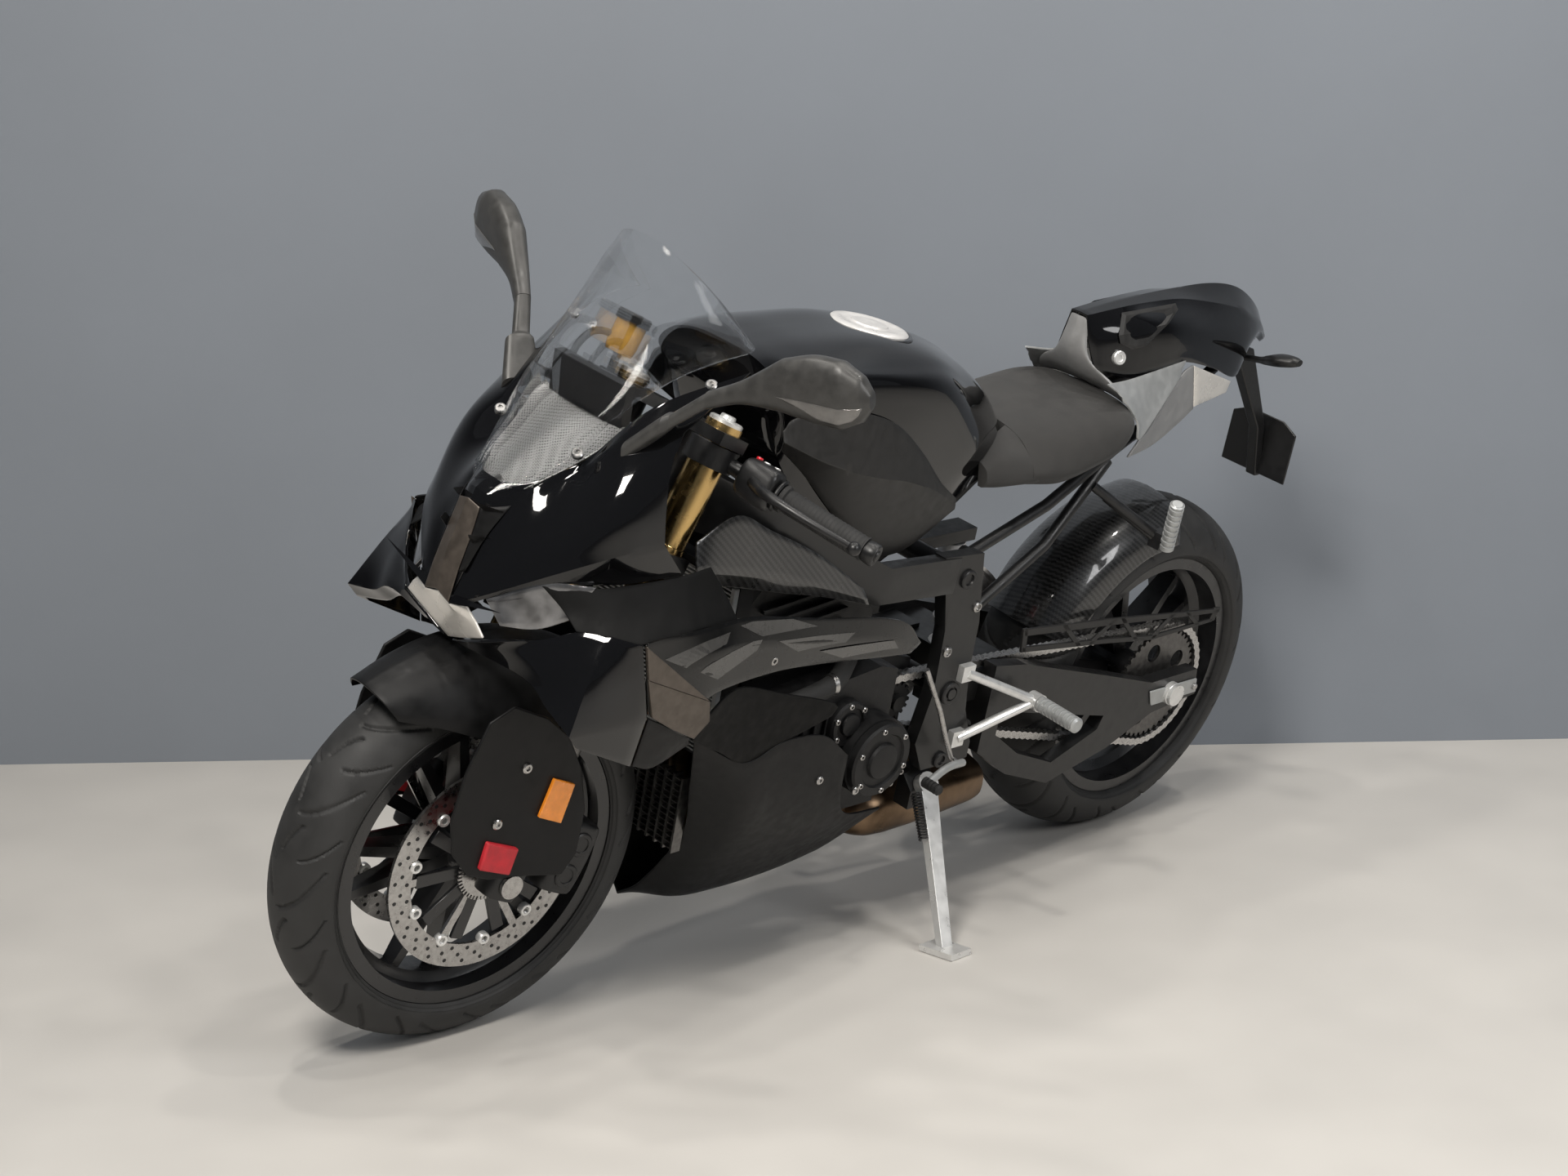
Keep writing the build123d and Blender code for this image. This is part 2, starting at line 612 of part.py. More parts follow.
# Fuel tank, seat and tail
tank = ribs_loft([
    # x, then y and z down the left half: crown, shoulder, edge, side, lower side, bottom
    (1086, [(0, 1036), (55, 1034), (100, 1022), (130, 1000), (130, 982), (100, 960), (0, 960)]),
    (1060, [(0, 1040), (60, 1038), (112, 1026), (140, 998), (136, 940), (112, 880), (0, 868)]),
    (985, [(0, 1043), (66, 1041), (120, 1024), (144, 998), (140, 920), (110, 800), (0, 792)]),
    (860, [(0, 1038), (72, 1036), (120, 1014), (144, 985), (138, 890), (108, 722), (0, 720)]),
    (745, [(0, 1020), (66, 1012), (106, 996), (134, 960), (126, 850), (104, 720), (0, 720)]),
    (640, [(0, 980), (52, 966), (86, 940), (110, 900), (114, 840), (98, 770), (0, 738)]),
    (560, [(0, 925), (42, 914), (64, 892), (84, 850), (88, 815), (78, 785), (0, 765)]),
    (512, [(0, 868), (36, 862), (54, 845), (66, 815), (66, 800), (56, 782), (0, 776)]),
])
for pad in pair(block((780, 104, 690), (840, 128, 735)) - left_beam):
    tank += pad
node("fuel_tank", tank)

cover_rows = [
    [(1098, 146, 954), (1082, 150, 970), (1010, 152, 972), (944, 152, 962), (866, 149, 933), (793, 144, 878),
     (733, 138, 822), (676, 128, 782)],
    [(1106, 154, 938), (1088, 160, 930), (1031, 168, 904), (960, 170, 878), (890, 166, 858), (838, 160, 845),
     (760, 147, 815), (672, 126, 770)],
    [(1094, 140, 918), (1062, 134, 895), (1025, 131, 865), (965, 128, 809), (900, 126, 752), (855, 125, 713),
     (770, 124, 708), (664, 120, 759)],
]
node("tank_covers", pair(sheet(cover_rows, panel_wall) - tank - left_beam))

seat = ribs_loft([
    # x, then y and z down the left half: crown, shoulder, edge, side, bottom
    (506, [(0, 862), (60, 856), (100, 838), (122, 806), (112, 784), (0, 784)]),
    (440, [(0, 864), (84, 858), (122, 836), (136, 800), (120, 778), (0, 778)]),
    (370, [(0, 870), (92, 864), (130, 842), (138, 808), (122, 790), (0, 790)]),
    (300, [(0, 876), (94, 870), (130, 852), (136, 822), (120, 806), (0, 806)]),
    (250, [(0, 878), (70, 872), (108, 858), (116, 838), (100, 822), (0, 822)]),
])
for pad in pair(block((280, 82, 776), (320, 106, 812)) - rail):
    seat += pad
node("rider_seat", seat)

tail_rows = [
    [(309, 0, 1010), (309, 17, 1009), (304, 29, 965), (293, 43, 926)],
    [(220, 0, 1021), (220, 21, 1018), (222, 58, 985), (224, 64, 908)],
    [(150, 0, 1027), (150, 24, 1022), (152, 62, 988), (154, 68, 916)],
    [(75, 0, 1031), (75, 28, 1022), (77, 60, 980), (79, 64, 922)],
    [(-20, 0, 1033), (-20, 32, 1008), (-20, 55, 955), (-20, 56, 898)],
    [(-95, 0, 1024), (-98, 30, 990), (-104, 48, 935), (-108, 46, 870)],
    [(-150, 0, 1003), (-146, 28, 968), (-146, 38, 935), (-145, 34, 910)],
    [(-198, 0, 968), (-190, 17, 952), (-186, 22, 938), (-182, 18, 924)],
    [(-228, 0, 924), (-226, 8, 922), (-222, 9, 916), (-218, 6, 910)],
]
stop_rows = [
    [(311, 0, 1004), (309, 14, 1003), (306, 20, 996)],
    [(316, 0, 950), (309, 26, 948), (301, 34, 940)],
    [(292, 0, 908), (284, 50, 906), (276, 84, 900)],
    [(256, 0, 884), (252, 60, 880), (246, 104, 868)],
]
tail_skin = sheet(full_width(tail_rows), panel_wall, Vector(50, 0, 930))
tail_stop = sheet(full_width(stop_rows), panel_wall, Vector(200, 0, 900))
node("tail_cowl", tail_skin)

fin_rows = [
    [(313, 92, 918), (240, 77, 912), (160, 72, 918), (79, 68, 926)],
    [(296, 99, 908), (244, 100, 885), (180, 92, 872), (88, 71, 912)],
    [(282, 104, 898), (238, 115, 850), (222, 117, 822), (92, 74, 902)],
]
under_rows = [
    [(222, 117, 820), (179, 101, 833), (92, 74, 900), (51, 66, 914)],
    [(248, 118, 790), (165, 102, 796), (84, 84, 816), (30, 72, 835)],
]
end_rows = [
    [(49, 66, 913), (-88, 54, 866)],
    [(30, 72, 838), (-81, 55, 846)],
]
tail_panels = [tail_stop - tail_skin - seat]
for rows in (fin_rows, under_rows, end_rows):
    tail_panels += [piece - tail_skin - subframe for piece in pair(sheet(rows, panel_wall))]
node("tail_panels", tail_panels)

# Plate holder with turn lamps
holder = plate_xz(
    [(-88.3, 887), (-88.3, 903), (-200, 900), (-300, 740), (-330, 640), (-300, 640), (-270, 735), (-150, 885)],
    -12, 12,
)
holder += block((-318, -75, 640), (-312, 75, 760))
lamp_arm = rod((-170, 0, 885), (-166, 70, 903), 7)
lamp = loft([
    (Plane(origin=(-166, 62, 901), z_dir=(0, 1, 0.1)) * Ellipse(9, 8)).face(),
    (Plane(origin=(-158, 92, 914), z_dir=(0, 1, 0.1)) * Ellipse(20, 13)).face(),
    (Plane(origin=(-162, 132, 920), z_dir=(0, 1, 0.1)) * Ellipse(9, 6)).face(),
], ruled=True)
for piece in pair(lamp_arm + lamp):
    holder += piece
plate_holes = [rod((-340, y, 720), (-300, y, 720), 3.5) for y in (-50, 50)]
for hole in plate_holes:
    holder -= hole
node("plate_holder", holder)

# Foot rests
hanger = rod((588, 154, 476), (440, 184, 412), 8) + rod((578, 154, 356), (440, 184, 408), 8)
hanger += block((574, 145.3, 462), (602, 158, 490)) + block((564, 145.3, 342), (592, 158, 370))
hanger += rod((434, 176, 409), (436, 198, 410), 15) + rod((436, 195, 410), (446, 285, 414), 11)
node("rider_footrests", pair(hanger))
bracket = rod((300, 100, 740), (190, 176, 662), 8) + rod((260, 100, 715), (190, 176, 655), 8)
bracket += block((176, 166, 646), (204, 190, 674))
bracket += rod((190, 196, 650), (216, 214, 742), 10)
node("pillion_footrests", pair(bracket - rail - strut))

# Side stand: bracket with its pin on the chassis, and the leg
stand_down = (Vector(*stand_foot) - Vector(*stand_pivot)).normalized()
stand_up = Vector(*stand_folded).normalized()
stand_axis = stand_down.cross(stand_up).normalized()
stand_travel = degrees(acos(stand_down.dot(stand_up)))
eye_half = 9.0
pin_half = 17.0
pivot_point = Vector(*stand_pivot)
stand_pin = rod(pivot_point - stand_axis * 24, pivot_point + stand_axis * pin_half, stand_pin_radius)
stand_lug = block((598, 112, 236), (652, 144, 305.7))
stand_lug -= rod(pivot_point - stand_axis * (eye_half + 0.6), pivot_point + stand_axis * 60, stand_eye_radius + 20)
node("stand_bracket", stand_lug + stand_pin - cross_low)
floor_up = Vector(0, -sin(radians(lean)), cos(radians(lean)))
eye = rod(pivot_point - stand_axis * eye_half, pivot_point + stand_axis * eye_half, stand_eye_radius)
leg_top = Plane(origin=pivot_point + stand_down * 14, x_dir=stand_axis, z_dir=stand_down)
leg_length = (Vector(*stand_foot) - pivot_point).length - 20
leg_shape = loft([
    (leg_top * Rectangle(18, 32)).face(),
    (leg_top.offset(leg_length * 0.35) * Rectangle(18, 25)).face(),
    (leg_top.offset(leg_length) * Rectangle(16, 20)).face(),
], ruled=True)
leg = eye + leg_shape
foot_plane = Plane(origin=Vector(*stand_foot), z_dir=floor_up)
foot = foot_plane.location * Pos(0, 0, 5) * Box(70, 46, 10)
leg += foot
leg -= rod(pivot_point - stand_axis * 40, pivot_point + stand_axis * 40, stand_pin_radius + running_fit)
node("side_stand_leg", leg)

# Steering: yokes, fork legs, bars, axle, calipers and mudguard, in the steering head's frame


def on_head(shape):
    return head_plane.location * shape


def upright(low, high, radius, y, offset=fork_offset):
    """Cylinder along the steering axis."""
    return Pos(offset, y, low) * Cylinder(radius, high - low, align=(Align.CENTER, Align.CENTER, Align.MIN))


fork_places = (-fork_spread, fork_spread)
yoke_outline = Polyline(
    (-30, 0), (-10, 40), (fork_offset - 20, 145), (fork_offset + 30, 145), (fork_offset + 34, 60), (36, 0)
)
yoke_face = make_face(yoke_outline + Line((36, 0), (-30, 0)))
yokes = upright(low_yoke_low, top_yoke_high + 8, stem_radius, 0, 0)
for low, wall in ((top_yoke_low, top_yoke_wall), (low_yoke_low, low_yoke_wall)):
    half = Pos(0, 0, low) * extrude(yoke_face, wall)
    yokes = yokes + half + mirror(half, about=Plane.XZ)
for y in fork_places:
    yokes -= upright(fork_joint, fork_top + 10, fork_tube_radius + running_fit, y)
stem_bore = 9.0
yokes -= upright(low_yoke_low - 10, top_yoke_high + 20, stem_bore, 0, 0)
node("fork_yokes", on_head(yokes), True)

axle_height = front_axle_high.Z
legs = []
for y in fork_places:
    leg_piece = upright(fork_joint, fork_top, fork_tube_radius, y)
    leg_piece += upright(axle_height + 30, fork_joint, fork_slider_radius, y)
    leg_piece += Pos(fork_offset, y, axle_height + 25) * Box(56, 46, 100)
    leg_piece -= Pos(fork_offset, y, axle_height) * Rot(90, 0, 0) * Cylinder(axle_radius + running_fit, 120)
    legs.append(leg_piece)
node("fork_legs", [on_head(s) for s in legs], True)

axle_place = front_centre * Rot(90, 0, 0)
front_axle = axle_place * Cylinder(axle_radius, 272) + axle_place * Pos(0, 0, -134) * Cylinder(18, 6)
spacer = axle_place * (Cylinder(18, 167.4) - Cylinder(axle_radius, 168) - Cylinder(19, front_hub_width + 0.6))
node("front_axle", front_axle + spacer, True)

bars = []
for side in (1, -1):
    start = Vector(fork_offset, side * fork_spread, bar_root_height)
    end = Vector(bar_end[0], side * bar_end[1], bar_end[2])
    run = (end - start).normalized()
    clamp_low = bar_root_height - bar_clamp_high / 2
    clamp = upright(clamp_low, clamp_low + bar_clamp_high, fork_tube_radius + 9, side * fork_spread)
    bar = clamp + rod(start + run * 20, end, bar_radius)
    bar += rod(end - run * 150, end - run * 14, grip_radius) + rod(end - run * 12, end + run * 8, grip_radius - 1)
    bar += rod(end - run * 215, end - run * 152, grip_radius + 8)
    bar -= upright(fork_joint, fork_top + 10, fork_tube_radius + running_fit, side * fork_spread)
    bars.append(on_head(bar))

levers = []
for side in (1, -1):
    start = Vector(fork_offset, side * fork_spread, bar_root_height)
    end = Vector(bar_end[0], side * bar_end[1], bar_end[2])
    run = (end - start).normalized()
    ahead = Vector(1, 0, 0) - run * run.X
    tip = end - run * 10 + ahead * 62
    knee = end - run * 150 + ahead * 70
    root = end - run * 190 + ahead * 24
    lever = rod(root, knee, 7) + rod(knee, tip, 6) + Pos(*knee) * Sphere(7) + Pos(*tip) * Sphere(8)
    levers.append(on_head(lever))
node("handlebars", [bar + lever for bar, lever in zip(bars, levers)], True)

# Brake fluid reservoir on an arm of the right-hand clamp, with its hose
reservoir_at = Vector(fork_offset + 41, -fork_spread - 4, fork_top + 42)
reservoir = Pos(*reservoir_at) * Cylinder(24, 50) + Pos(*(reservoir_at + Vector(0, 0, 30))) * Cylinder(26, 12)
reservoir += rod(reservoir_at + Vector(0, 0, -20), reservoir_at + Vector(-6, 0, bar_root_height - reservoir_at.Z), 6)
hose_root = Vector(fork_offset + 30, -fork_spread - 20, bar_root_height)
hose = [reservoir_at + Vector(*step) for step in ((0, 0, -10), (40, -22, -10), (46, -30, -60))] + [hose_root]
reservoir += pipe(hose, 5.5, 16)
node("brake_reservoir", on_head(reservoir - yokes) - bars[1], True)

fender_columns = [(0, front_radius + 36), (42, front_radius + 24), (68, front_radius - 4), (79, front_radius - 60)]
fender = arc_shell(front_axle_x, front_radius, fender_columns, (130, 112, 92, 74, 57), panel_wall)
# Guards over the fork's feet, outlines from the front axle
fender_side = plate_xz(
    [(-66, 224), (-32, 260), (43, 290), (103, 220), (118, 130), (83, 52), (23, 30), (-85, 18), (-112, 100)],
    130.3, 130.3 + panel_wall,
)
for piece in pair(front_centre * (fender_side + block((-69, 73, 224), (-45, 133, 236)))):
    fender += piece
node("front_fender", fender, True)

calipers = []
for y in (-front_disc_offset, front_disc_offset):
    body = Pos(fork_offset - 118, y + (4 if y > 0 else -4), axle_height + 50) * Box(62, 62, 110)
    body += Pos(fork_offset - 59, y * 1.39, axle_height + 45) * Box(66, 14, 60)
    body -= Pos(fork_offset, y, axle_height) * Rot(90, 0, 0) * Cylinder(front_disc_radius + 6, disc_wall + 5)
    body -= legs[0] + legs[1]
    calipers.append(on_head(body))
node("front_calipers", calipers, True)

# Rear caliper on the swingarm
rear_caliper = Pos(80, -rear_disc_offset, 78) * Box(80, 46, 40)
rear_caliper -= Pos(0, -rear_disc_offset, 0) * Rot(90, 0, 0) * Cylinder(rear_disc_radius + 6, disc_wall + 5)
rear_caliper = rear_centre * (rear_caliper + block((60, -134, 25), (100, -112, 72)))
node("rear_caliper", rear_caliper - right_arm)

# Mirrors with their stalks
mirror_sections = [
    # x, y and z of the middle, depth along X and height of each section
    (1312, 200, 1042, 22, 26),
    (1280, 262, 1082, 40, 44),
    (1262, 330, 1102, 46, 84),
    (1246, 376, 1108, 44, 88),
    (1230, 410, 1114, 24, 34),
]
stalk_sections = [
    (1360, 120, 948, 52, 30),
    (1348, 150, 985, 40, 22),
    (1312, 200, 1042, 22, 26),
]


def across(sections):
    """Ruled body through elliptic sections that face sideways."""
    faces = [(Plane(origin=(x, y, z), z_dir=(-0.35, 0.9, 0.2)) * Ellipse(deep / 2, high / 2)).face()
             for x, y, z, deep, high in sections]
    return loft(faces, ruled=True)


mirrors = []
for piece in pair(across(mirror_sections) + across(stalk_sections)):
    mirrors.append(max((piece - nose_skin).solids(), key=lambda part: part.volume))
node("mirrors", mirrors)

# Dash display on the stay that carries the nose
dash = block((1330, -78, 952), (1346, 78, 1018))
stay = rod((1200, 0, 850), (1330, 0, 905), 14) + rod((1330, 0, 905), (1489, 0, 862), 12)
stay += rod((1330, 0, 905), (1337, 0, 958), 10)
stay += rod((1330, 0, 905), (1384, 112, 940), 9) + rod((1330, 0, 905), (1384, -112, 940), 9)
node("dash_display", dash + stay - head_tube - nose_skin)


# Park the bike
steer_axis = Axis(head_plane.origin, head_plane.z_dir)
upright_to_parked = Rot(0, 0, -90) * Rot(-lean, 0, 0)
parked = {}
for name, shapes in nodes.items():
    turned = [s.rotate(steer_axis, parked_steer) for s in shapes] if name in steered else shapes
    solids = [solid for s in turned for solid in s.solids()]
    parked[name] = [upright_to_parked * s for s in solids]
box = Compound([s for solids in parked.values() for s in solids]).bounding_box()
shift = Pos(-box.center().X, -box.center().Y, -box.min.Z)

if __name__ == "__main__":
    os.makedirs("parts", exist_ok=True)
    for name, solids in parked.items():
        export_step(Compound([shift * s for s in solids]), f"parts/{name}.step")
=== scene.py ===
"""Looks of the parked sport bike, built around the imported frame.

Tables are in the bike's own millimetres, as in the part's source: X forward, Y to its left, Z up,
origin on the ground under the rear axle, upright and steered straight. place() turns them into the
frame's metres.
"""

import json
import math

import bmesh
import bpy
import numpy as np
from mathutils import Matrix, Vector


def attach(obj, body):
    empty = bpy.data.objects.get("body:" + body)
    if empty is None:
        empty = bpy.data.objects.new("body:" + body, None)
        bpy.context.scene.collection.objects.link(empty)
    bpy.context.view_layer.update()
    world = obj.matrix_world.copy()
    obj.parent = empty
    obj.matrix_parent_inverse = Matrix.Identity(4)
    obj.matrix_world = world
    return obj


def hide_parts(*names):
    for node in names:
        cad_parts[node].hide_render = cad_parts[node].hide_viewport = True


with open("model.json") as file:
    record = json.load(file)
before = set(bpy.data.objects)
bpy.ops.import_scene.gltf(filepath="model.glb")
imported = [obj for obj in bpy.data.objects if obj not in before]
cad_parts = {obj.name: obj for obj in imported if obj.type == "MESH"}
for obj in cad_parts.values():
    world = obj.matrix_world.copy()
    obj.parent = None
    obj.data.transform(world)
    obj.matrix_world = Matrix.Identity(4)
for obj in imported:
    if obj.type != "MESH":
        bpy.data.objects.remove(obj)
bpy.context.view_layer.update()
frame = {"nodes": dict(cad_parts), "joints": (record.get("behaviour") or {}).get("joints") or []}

# Chassis values shared with the part
LEAN = math.radians(15.0)
PARKED_STEER = math.radians(-3.5)
RAKE = math.radians(23.6)
WHEELBASE, TRAIL = 1457.0, 99.8
FRONT_RADIUS, REAR_RADIUS = 300.0, 320.0
FORK_SPREAD = 107.0
FORK_TOP = 1028.0
MM = 0.001

# The photograph's camera in the bike's own frame, metres and radians
EYE = (3.5605543, 2.4688995, 2.1438840)
YAW, PITCH, ROLL = -2.3966592, 0.3988030, -0.1879194
SENSOR_WIDTH = 36.0
FOCAL_PIXELS, IMAGE_WIDTH = 3144.126, 1920.0


def turn_to_row(v):
    """A bike direction as a direction of the frame."""
    v = np.asarray(v, float)
    out = np.empty_like(v)
    out[..., 0] = v[..., 1] * math.cos(LEAN) + v[..., 2] * math.sin(LEAN)
    out[..., 1] = -v[..., 0]
    out[..., 2] = -v[..., 1] * math.sin(LEAN) + v[..., 2] * math.cos(LEAN)
    return out


joints = {joint["name"]: joint for joint in frame["joints"]}
rear_axle = np.array(joints["rear_wheel_spin"]["pos_m"])
SHIFT = rear_axle - turn_to_row(np.array([0.0, 0.0, REAR_RADIUS * MM]))

HEAD_ORIGIN = np.array([WHEELBASE + TRAIL, 0.0, 0.0])
HEAD_AXIS = np.array([-math.sin(RAKE), 0.0, math.cos(RAKE)])
HEAD_FORWARD = np.array([math.cos(RAKE), 0.0, math.sin(RAKE)])
HEAD_LEFT = np.array([0.0, 1.0, 0.0])
_axle = np.array([WHEELBASE, 0.0, FRONT_RADIUS]) - HEAD_ORIGIN
FORK_OFFSET = float(_axle @ HEAD_FORWARD)
AXLE_HIGH = float(_axle @ HEAD_AXIS)


def steer(points):
    """Turns bike points about the steering head to where the bike is parked."""
    p = np.asarray(points, float) - HEAD_ORIGIN
    k = HEAD_AXIS
    c, s = math.cos(PARKED_STEER), math.sin(PARKED_STEER)
    return HEAD_ORIGIN + p * c + np.cross(k, p) * s + np.outer(p @ k, k) * (1 - c)


def on_head(points):
    """Points along (forward, left, up) of the steering head, as bike points."""
    p = np.asarray(points, float)
    return HEAD_ORIGIN + p[..., :1] * HEAD_FORWARD + p[..., 1:2] * HEAD_LEFT + p[..., 2:] * HEAD_AXIS


def place(points, steered=False):
    """Bike millimetres as metres in the frame."""
    p = np.asarray(points, float).reshape(-1, 3)
    if steered:
        p = steer(p)
    return SHIFT + turn_to_row(p * MM)


# Materials


def put(tree, socket, value):
    """Sets a socket to a value, or links it to what another node gives."""
    if isinstance(value, bpy.types.NodeSocket):
        tree.links.new(value, socket)
    else:
        socket.default_value = value


def feed(tree, node, **inputs):
    """Sets the named inputs of a node, with underscores for blanks."""
    for key, value in inputs.items():
        put(tree, node.inputs[key.replace("_", " ")], value)
    return node


def new_node(tree, kind, **inputs):
    return feed(tree, tree.nodes.new("ShaderNode" + kind), **inputs)


def surface(name, color, rough, metallic=0.0, coat=0.0, coat_rough=0.03, vary=0.15, rough_vary=0.08,
            scale=60.0, bump=0.05, bump_scale=400.0, sheen=0.0, specular=0.5):
    """Principled material whose colour, roughness and relief come from noise at the given scales."""
    material = bpy.data.materials.new(name)
    material.use_nodes = True
    tree = material.node_tree
    where = new_node(tree, "TexCoord").outputs["Object"]
    cloud = new_node(tree, "TexNoise", Scale=scale, Detail=4.0, Vector=where).outputs["Fac"]
    grain = new_node(tree, "TexNoise", Scale=bump_scale, Detail=3.0, Vector=where).outputs["Fac"]
    tint = new_node(tree, "ValToRGB", Fac=cloud)
    for stop, position, share in zip(tint.color_ramp.elements, (0.35, 0.65), (1 - vary, 1 + vary)):
        stop.position = position
        stop.color = (*[min(1.0, c * share) for c in color], 1)
    polish = new_node(tree, "MapRange", Value=cloud, From_Min=0.3, From_Max=0.7,
                      To_Min=max(0.0, rough - rough_vary), To_Max=min(1.0, rough + rough_vary))
    relief = new_node(tree, "Bump", Strength=bump, Distance=MM, Height=grain)
    feed(tree, tree.nodes["Principled BSDF"], Metallic=metallic, Coat_Weight=coat, Coat_Roughness=coat_rough,
         Sheen_Weight=sheen, Specular_IOR_Level=specular, Base_Color=tint.outputs["Color"],
         Roughness=polish.outputs["Result"], Normal=relief.outputs["Normal"])
    return material


def math_node(tree, operation, *values):
    node = tree.nodes.new("ShaderNodeMath")
    node.operation = operation
    for socket, value in zip(node.inputs, values):
        put(tree, socket, value)
    return node.outputs[0]


def two_tone(material, share, first, second):
    """Base colour of a material: the first where share is 0, the second where it is 1."""
    tree = material.node_tree
    mix = tree.nodes.new("ShaderNodeMix")
    mix.data_type = "RGBA"
    feed(tree, mix, A=(*first, 1), B=(*second, 1), Factor=share)
    feed(tree, tree.nodes["Principled BSDF"], Base_Color=mix.outputs["Result"])
    return material


def weave(name, dark, light, pitch=0.003):
    """Twill of two tows that cross, on the side plane of the bike."""
    material = surface(name, dark, 0.32, coat=1.0, coat_rough=0.06, bump=0.02)
    tree = material.node_tree
    split = new_node(tree, "SeparateXYZ", Vector=new_node(tree, "TexCoord").outputs["Object"])
    u, v = (math_node(tree, "FLOOR", math_node(tree, "DIVIDE", split.outputs[axis], pitch)) for axis in "YZ")
    cell = math_node(tree, "FLOORED_MODULO", math_node(tree, "ADD", u, v), 4.0)
    return two_tone(material, math_node(tree, "LESS_THAN", cell, 2.0), dark, light)


def mesh_screen(name, color, hole, pitch=0.0035):
    """Panel of fine round holes in staggered rows."""
    material = surface(name, color, 0.42, metallic=0.5)
    tree = material.node_tree
    stretch = new_node(tree, "Mapping", Rotation=(0.0, 0.0, math.radians(45)),
                       Vector=new_node(tree, "TexCoord").outputs["Object"])
    cells = new_node(tree, "TexVoronoi", Scale=1 / pitch, Randomness=0.0, Vector=stretch.outputs["Vector"])
    return two_tone(material, math_node(tree, "LESS_THAN", cells.outputs["Distance"], 0.36), color, hole)


def glass(name, color, alpha):
    material = surface(name, color, 0.02, vary=0.03, rough_vary=0.01, bump=0.003, coat=0.3)
    tree = material.node_tree
    feed(tree, tree.nodes["Principled BSDF"], Transmission_Weight=1.0, IOR=1.15, Alpha=alpha)
    return material


gloss_black = surface("gloss_black", (0.003, 0.003, 0.0035), 0.08, coat=0.75, coat_rough=0.015, specular=0.15,
                      bump=0.004, bump_scale=900.0, vary=0.4, rough_vary=0.03, scale=900.0)
satin_black = surface("satin_black", (0.005, 0.005, 0.0053), 0.46, specular=0.24, bump=0.06,
                      bump_scale=2600.0)
satin_grey = surface("satin_grey", (0.017, 0.0165, 0.016), 0.44, specular=0.4, bump=0.05, bump_scale=2200.0)
side_grey = surface("side_grey", (0.005, 0.005, 0.005), 0.22, specular=0.2, coat=0.4, coat_rough=0.12,
                    bump=0.02)
matte_black = surface("matte_black", (0.004, 0.004, 0.004), 0.62, specular=0.15, bump=0.08, bump_scale=1800.0)
# Headlight lens: its light, mottled grey colour is a painted reflection on the glass
headlight_lens_painted_reflection = surface("headlight_lens_painted_reflection", (0.16, 0.16, 0.165), 0.12, metallic=0.7, coat=1.0, coat_rough=0.01,
                         vary=0.5, scale=30.0, bump=0.004)
shard_grey = surface("shard_grey", (0.045, 0.044, 0.042), 0.3, coat=0.6, coat_rough=0.1, bump=0.02)
beak_silver = surface("beak_silver", (0.78, 0.75, 0.70), 0.30, metallic=0.35, coat=0.4, vary=0.05, scale=14.0)
bronze = surface("bronze_inlay", (0.105, 0.088, 0.074), 0.36, metallic=0.6, bump=0.04, bump_scale=2600.0)
silver_panel = surface("silver_panel", (0.42, 0.43, 0.43), 0.42, metallic=0.5, vary=0.06, bump_scale=1500.0)
grey_panel = surface("grey_panel", (0.27, 0.27, 0.27), 0.45, metallic=0.2, vary=0.06, bump_scale=1500.0)
carbon = weave("carbon", (0.006, 0.006, 0.006), (0.028, 0.028, 0.028))
mesh_panel = mesh_screen("mesh_panel", (0.30, 0.30, 0.30), (0.03, 0.03, 0.03))
clear_screen = glass("clear_screen", (0.96, 0.97, 0.97), alpha=0.42)
lamp_glass = surface("lamp_glass", (0.012, 0.012, 0.013), 0.05, coat=1.0, coat_rough=0.01, bump=0.004)
clear_lens = surface("clear_lens", (0.13, 0.125, 0.12), 0.08, coat=1.0, metallic=0.4)
amber = surface("amber_lens", (0.85, 0.27, 0.02), 0.22, coat=0.8, bump=0.6, bump_scale=900.0, vary=0.1)
red_tag = surface("red_tag", (0.5, 0.02, 0.03), 0.55, bump=0.3, bump_scale=1500.0)
amber_fluid = surface("amber_fluid", (0.42, 0.23, 0.04), 0.18, coat=1.0, vary=0.3, scale=40.0)
seat_suede = surface("seat_suede", (0.024, 0.023, 0.022), 0.85, sheen=0.10, bump=0.5, bump_scale=1500.0,
                     vary=0.18, scale=30.0)
rubber = surface("tyre_rubber", (0.021, 0.021, 0.021), 0.62, bump=0.25, bump_scale=1200.0, vary=0.25,
                 scale=25.0)
grip_rubber = surface("grip_rubber", (0.014, 0.014, 0.014), 0.7, bump=0.4, bump_scale=900.0)
rim_black = surface("rim_black", (0.010, 0.010, 0.011), 0.34, coat=0.4, coat_rough=0.15, bump=0.03)
black_metal = surface("black_metal", (0.009, 0.009, 0.0095), 0.40, bump=0.05, bump_scale=1400.0)
frame_black = surface("frame_black", (0.009, 0.009, 0.0093), 0.40, specular=0.35, coat=0.3, coat_rough=0.2,
                      bump=0.06)
mirror_grey = surface("mirror_grey", (0.050, 0.049, 0.047), 0.40, metallic=0.2, bump=0.05, bump_scale=2400.0)
engine_black = surface("engine_black", (0.007, 0.007, 0.0075), 0.5, specular=0.35, bump=0.35,
                       bump_scale=700.0, vary=0.3)
gold = surface("gold_tube", (0.62, 0.42, 0.17), 0.24, metallic=1.0, vary=0.06, bump=0.02)
silver = surface("bare_silver", (0.82, 0.82, 0.81), 0.34, metallic=0.7, vary=0.06, bump=0.08,
                 bump_scale=900.0)
steel = surface("steel", (0.46, 0.45, 0.44), 0.30, metallic=1.0, vary=0.12, scale=120.0, bump=0.05)
dark_steel = surface("dark_steel", (0.15, 0.145, 0.14), 0.38, metallic=0.9, vary=0.2, scale=120.0)
chain_steel = surface("chain_steel", (0.56, 0.55, 0.54), 0.32, metallic=1.0, vary=0.2, scale=300.0)
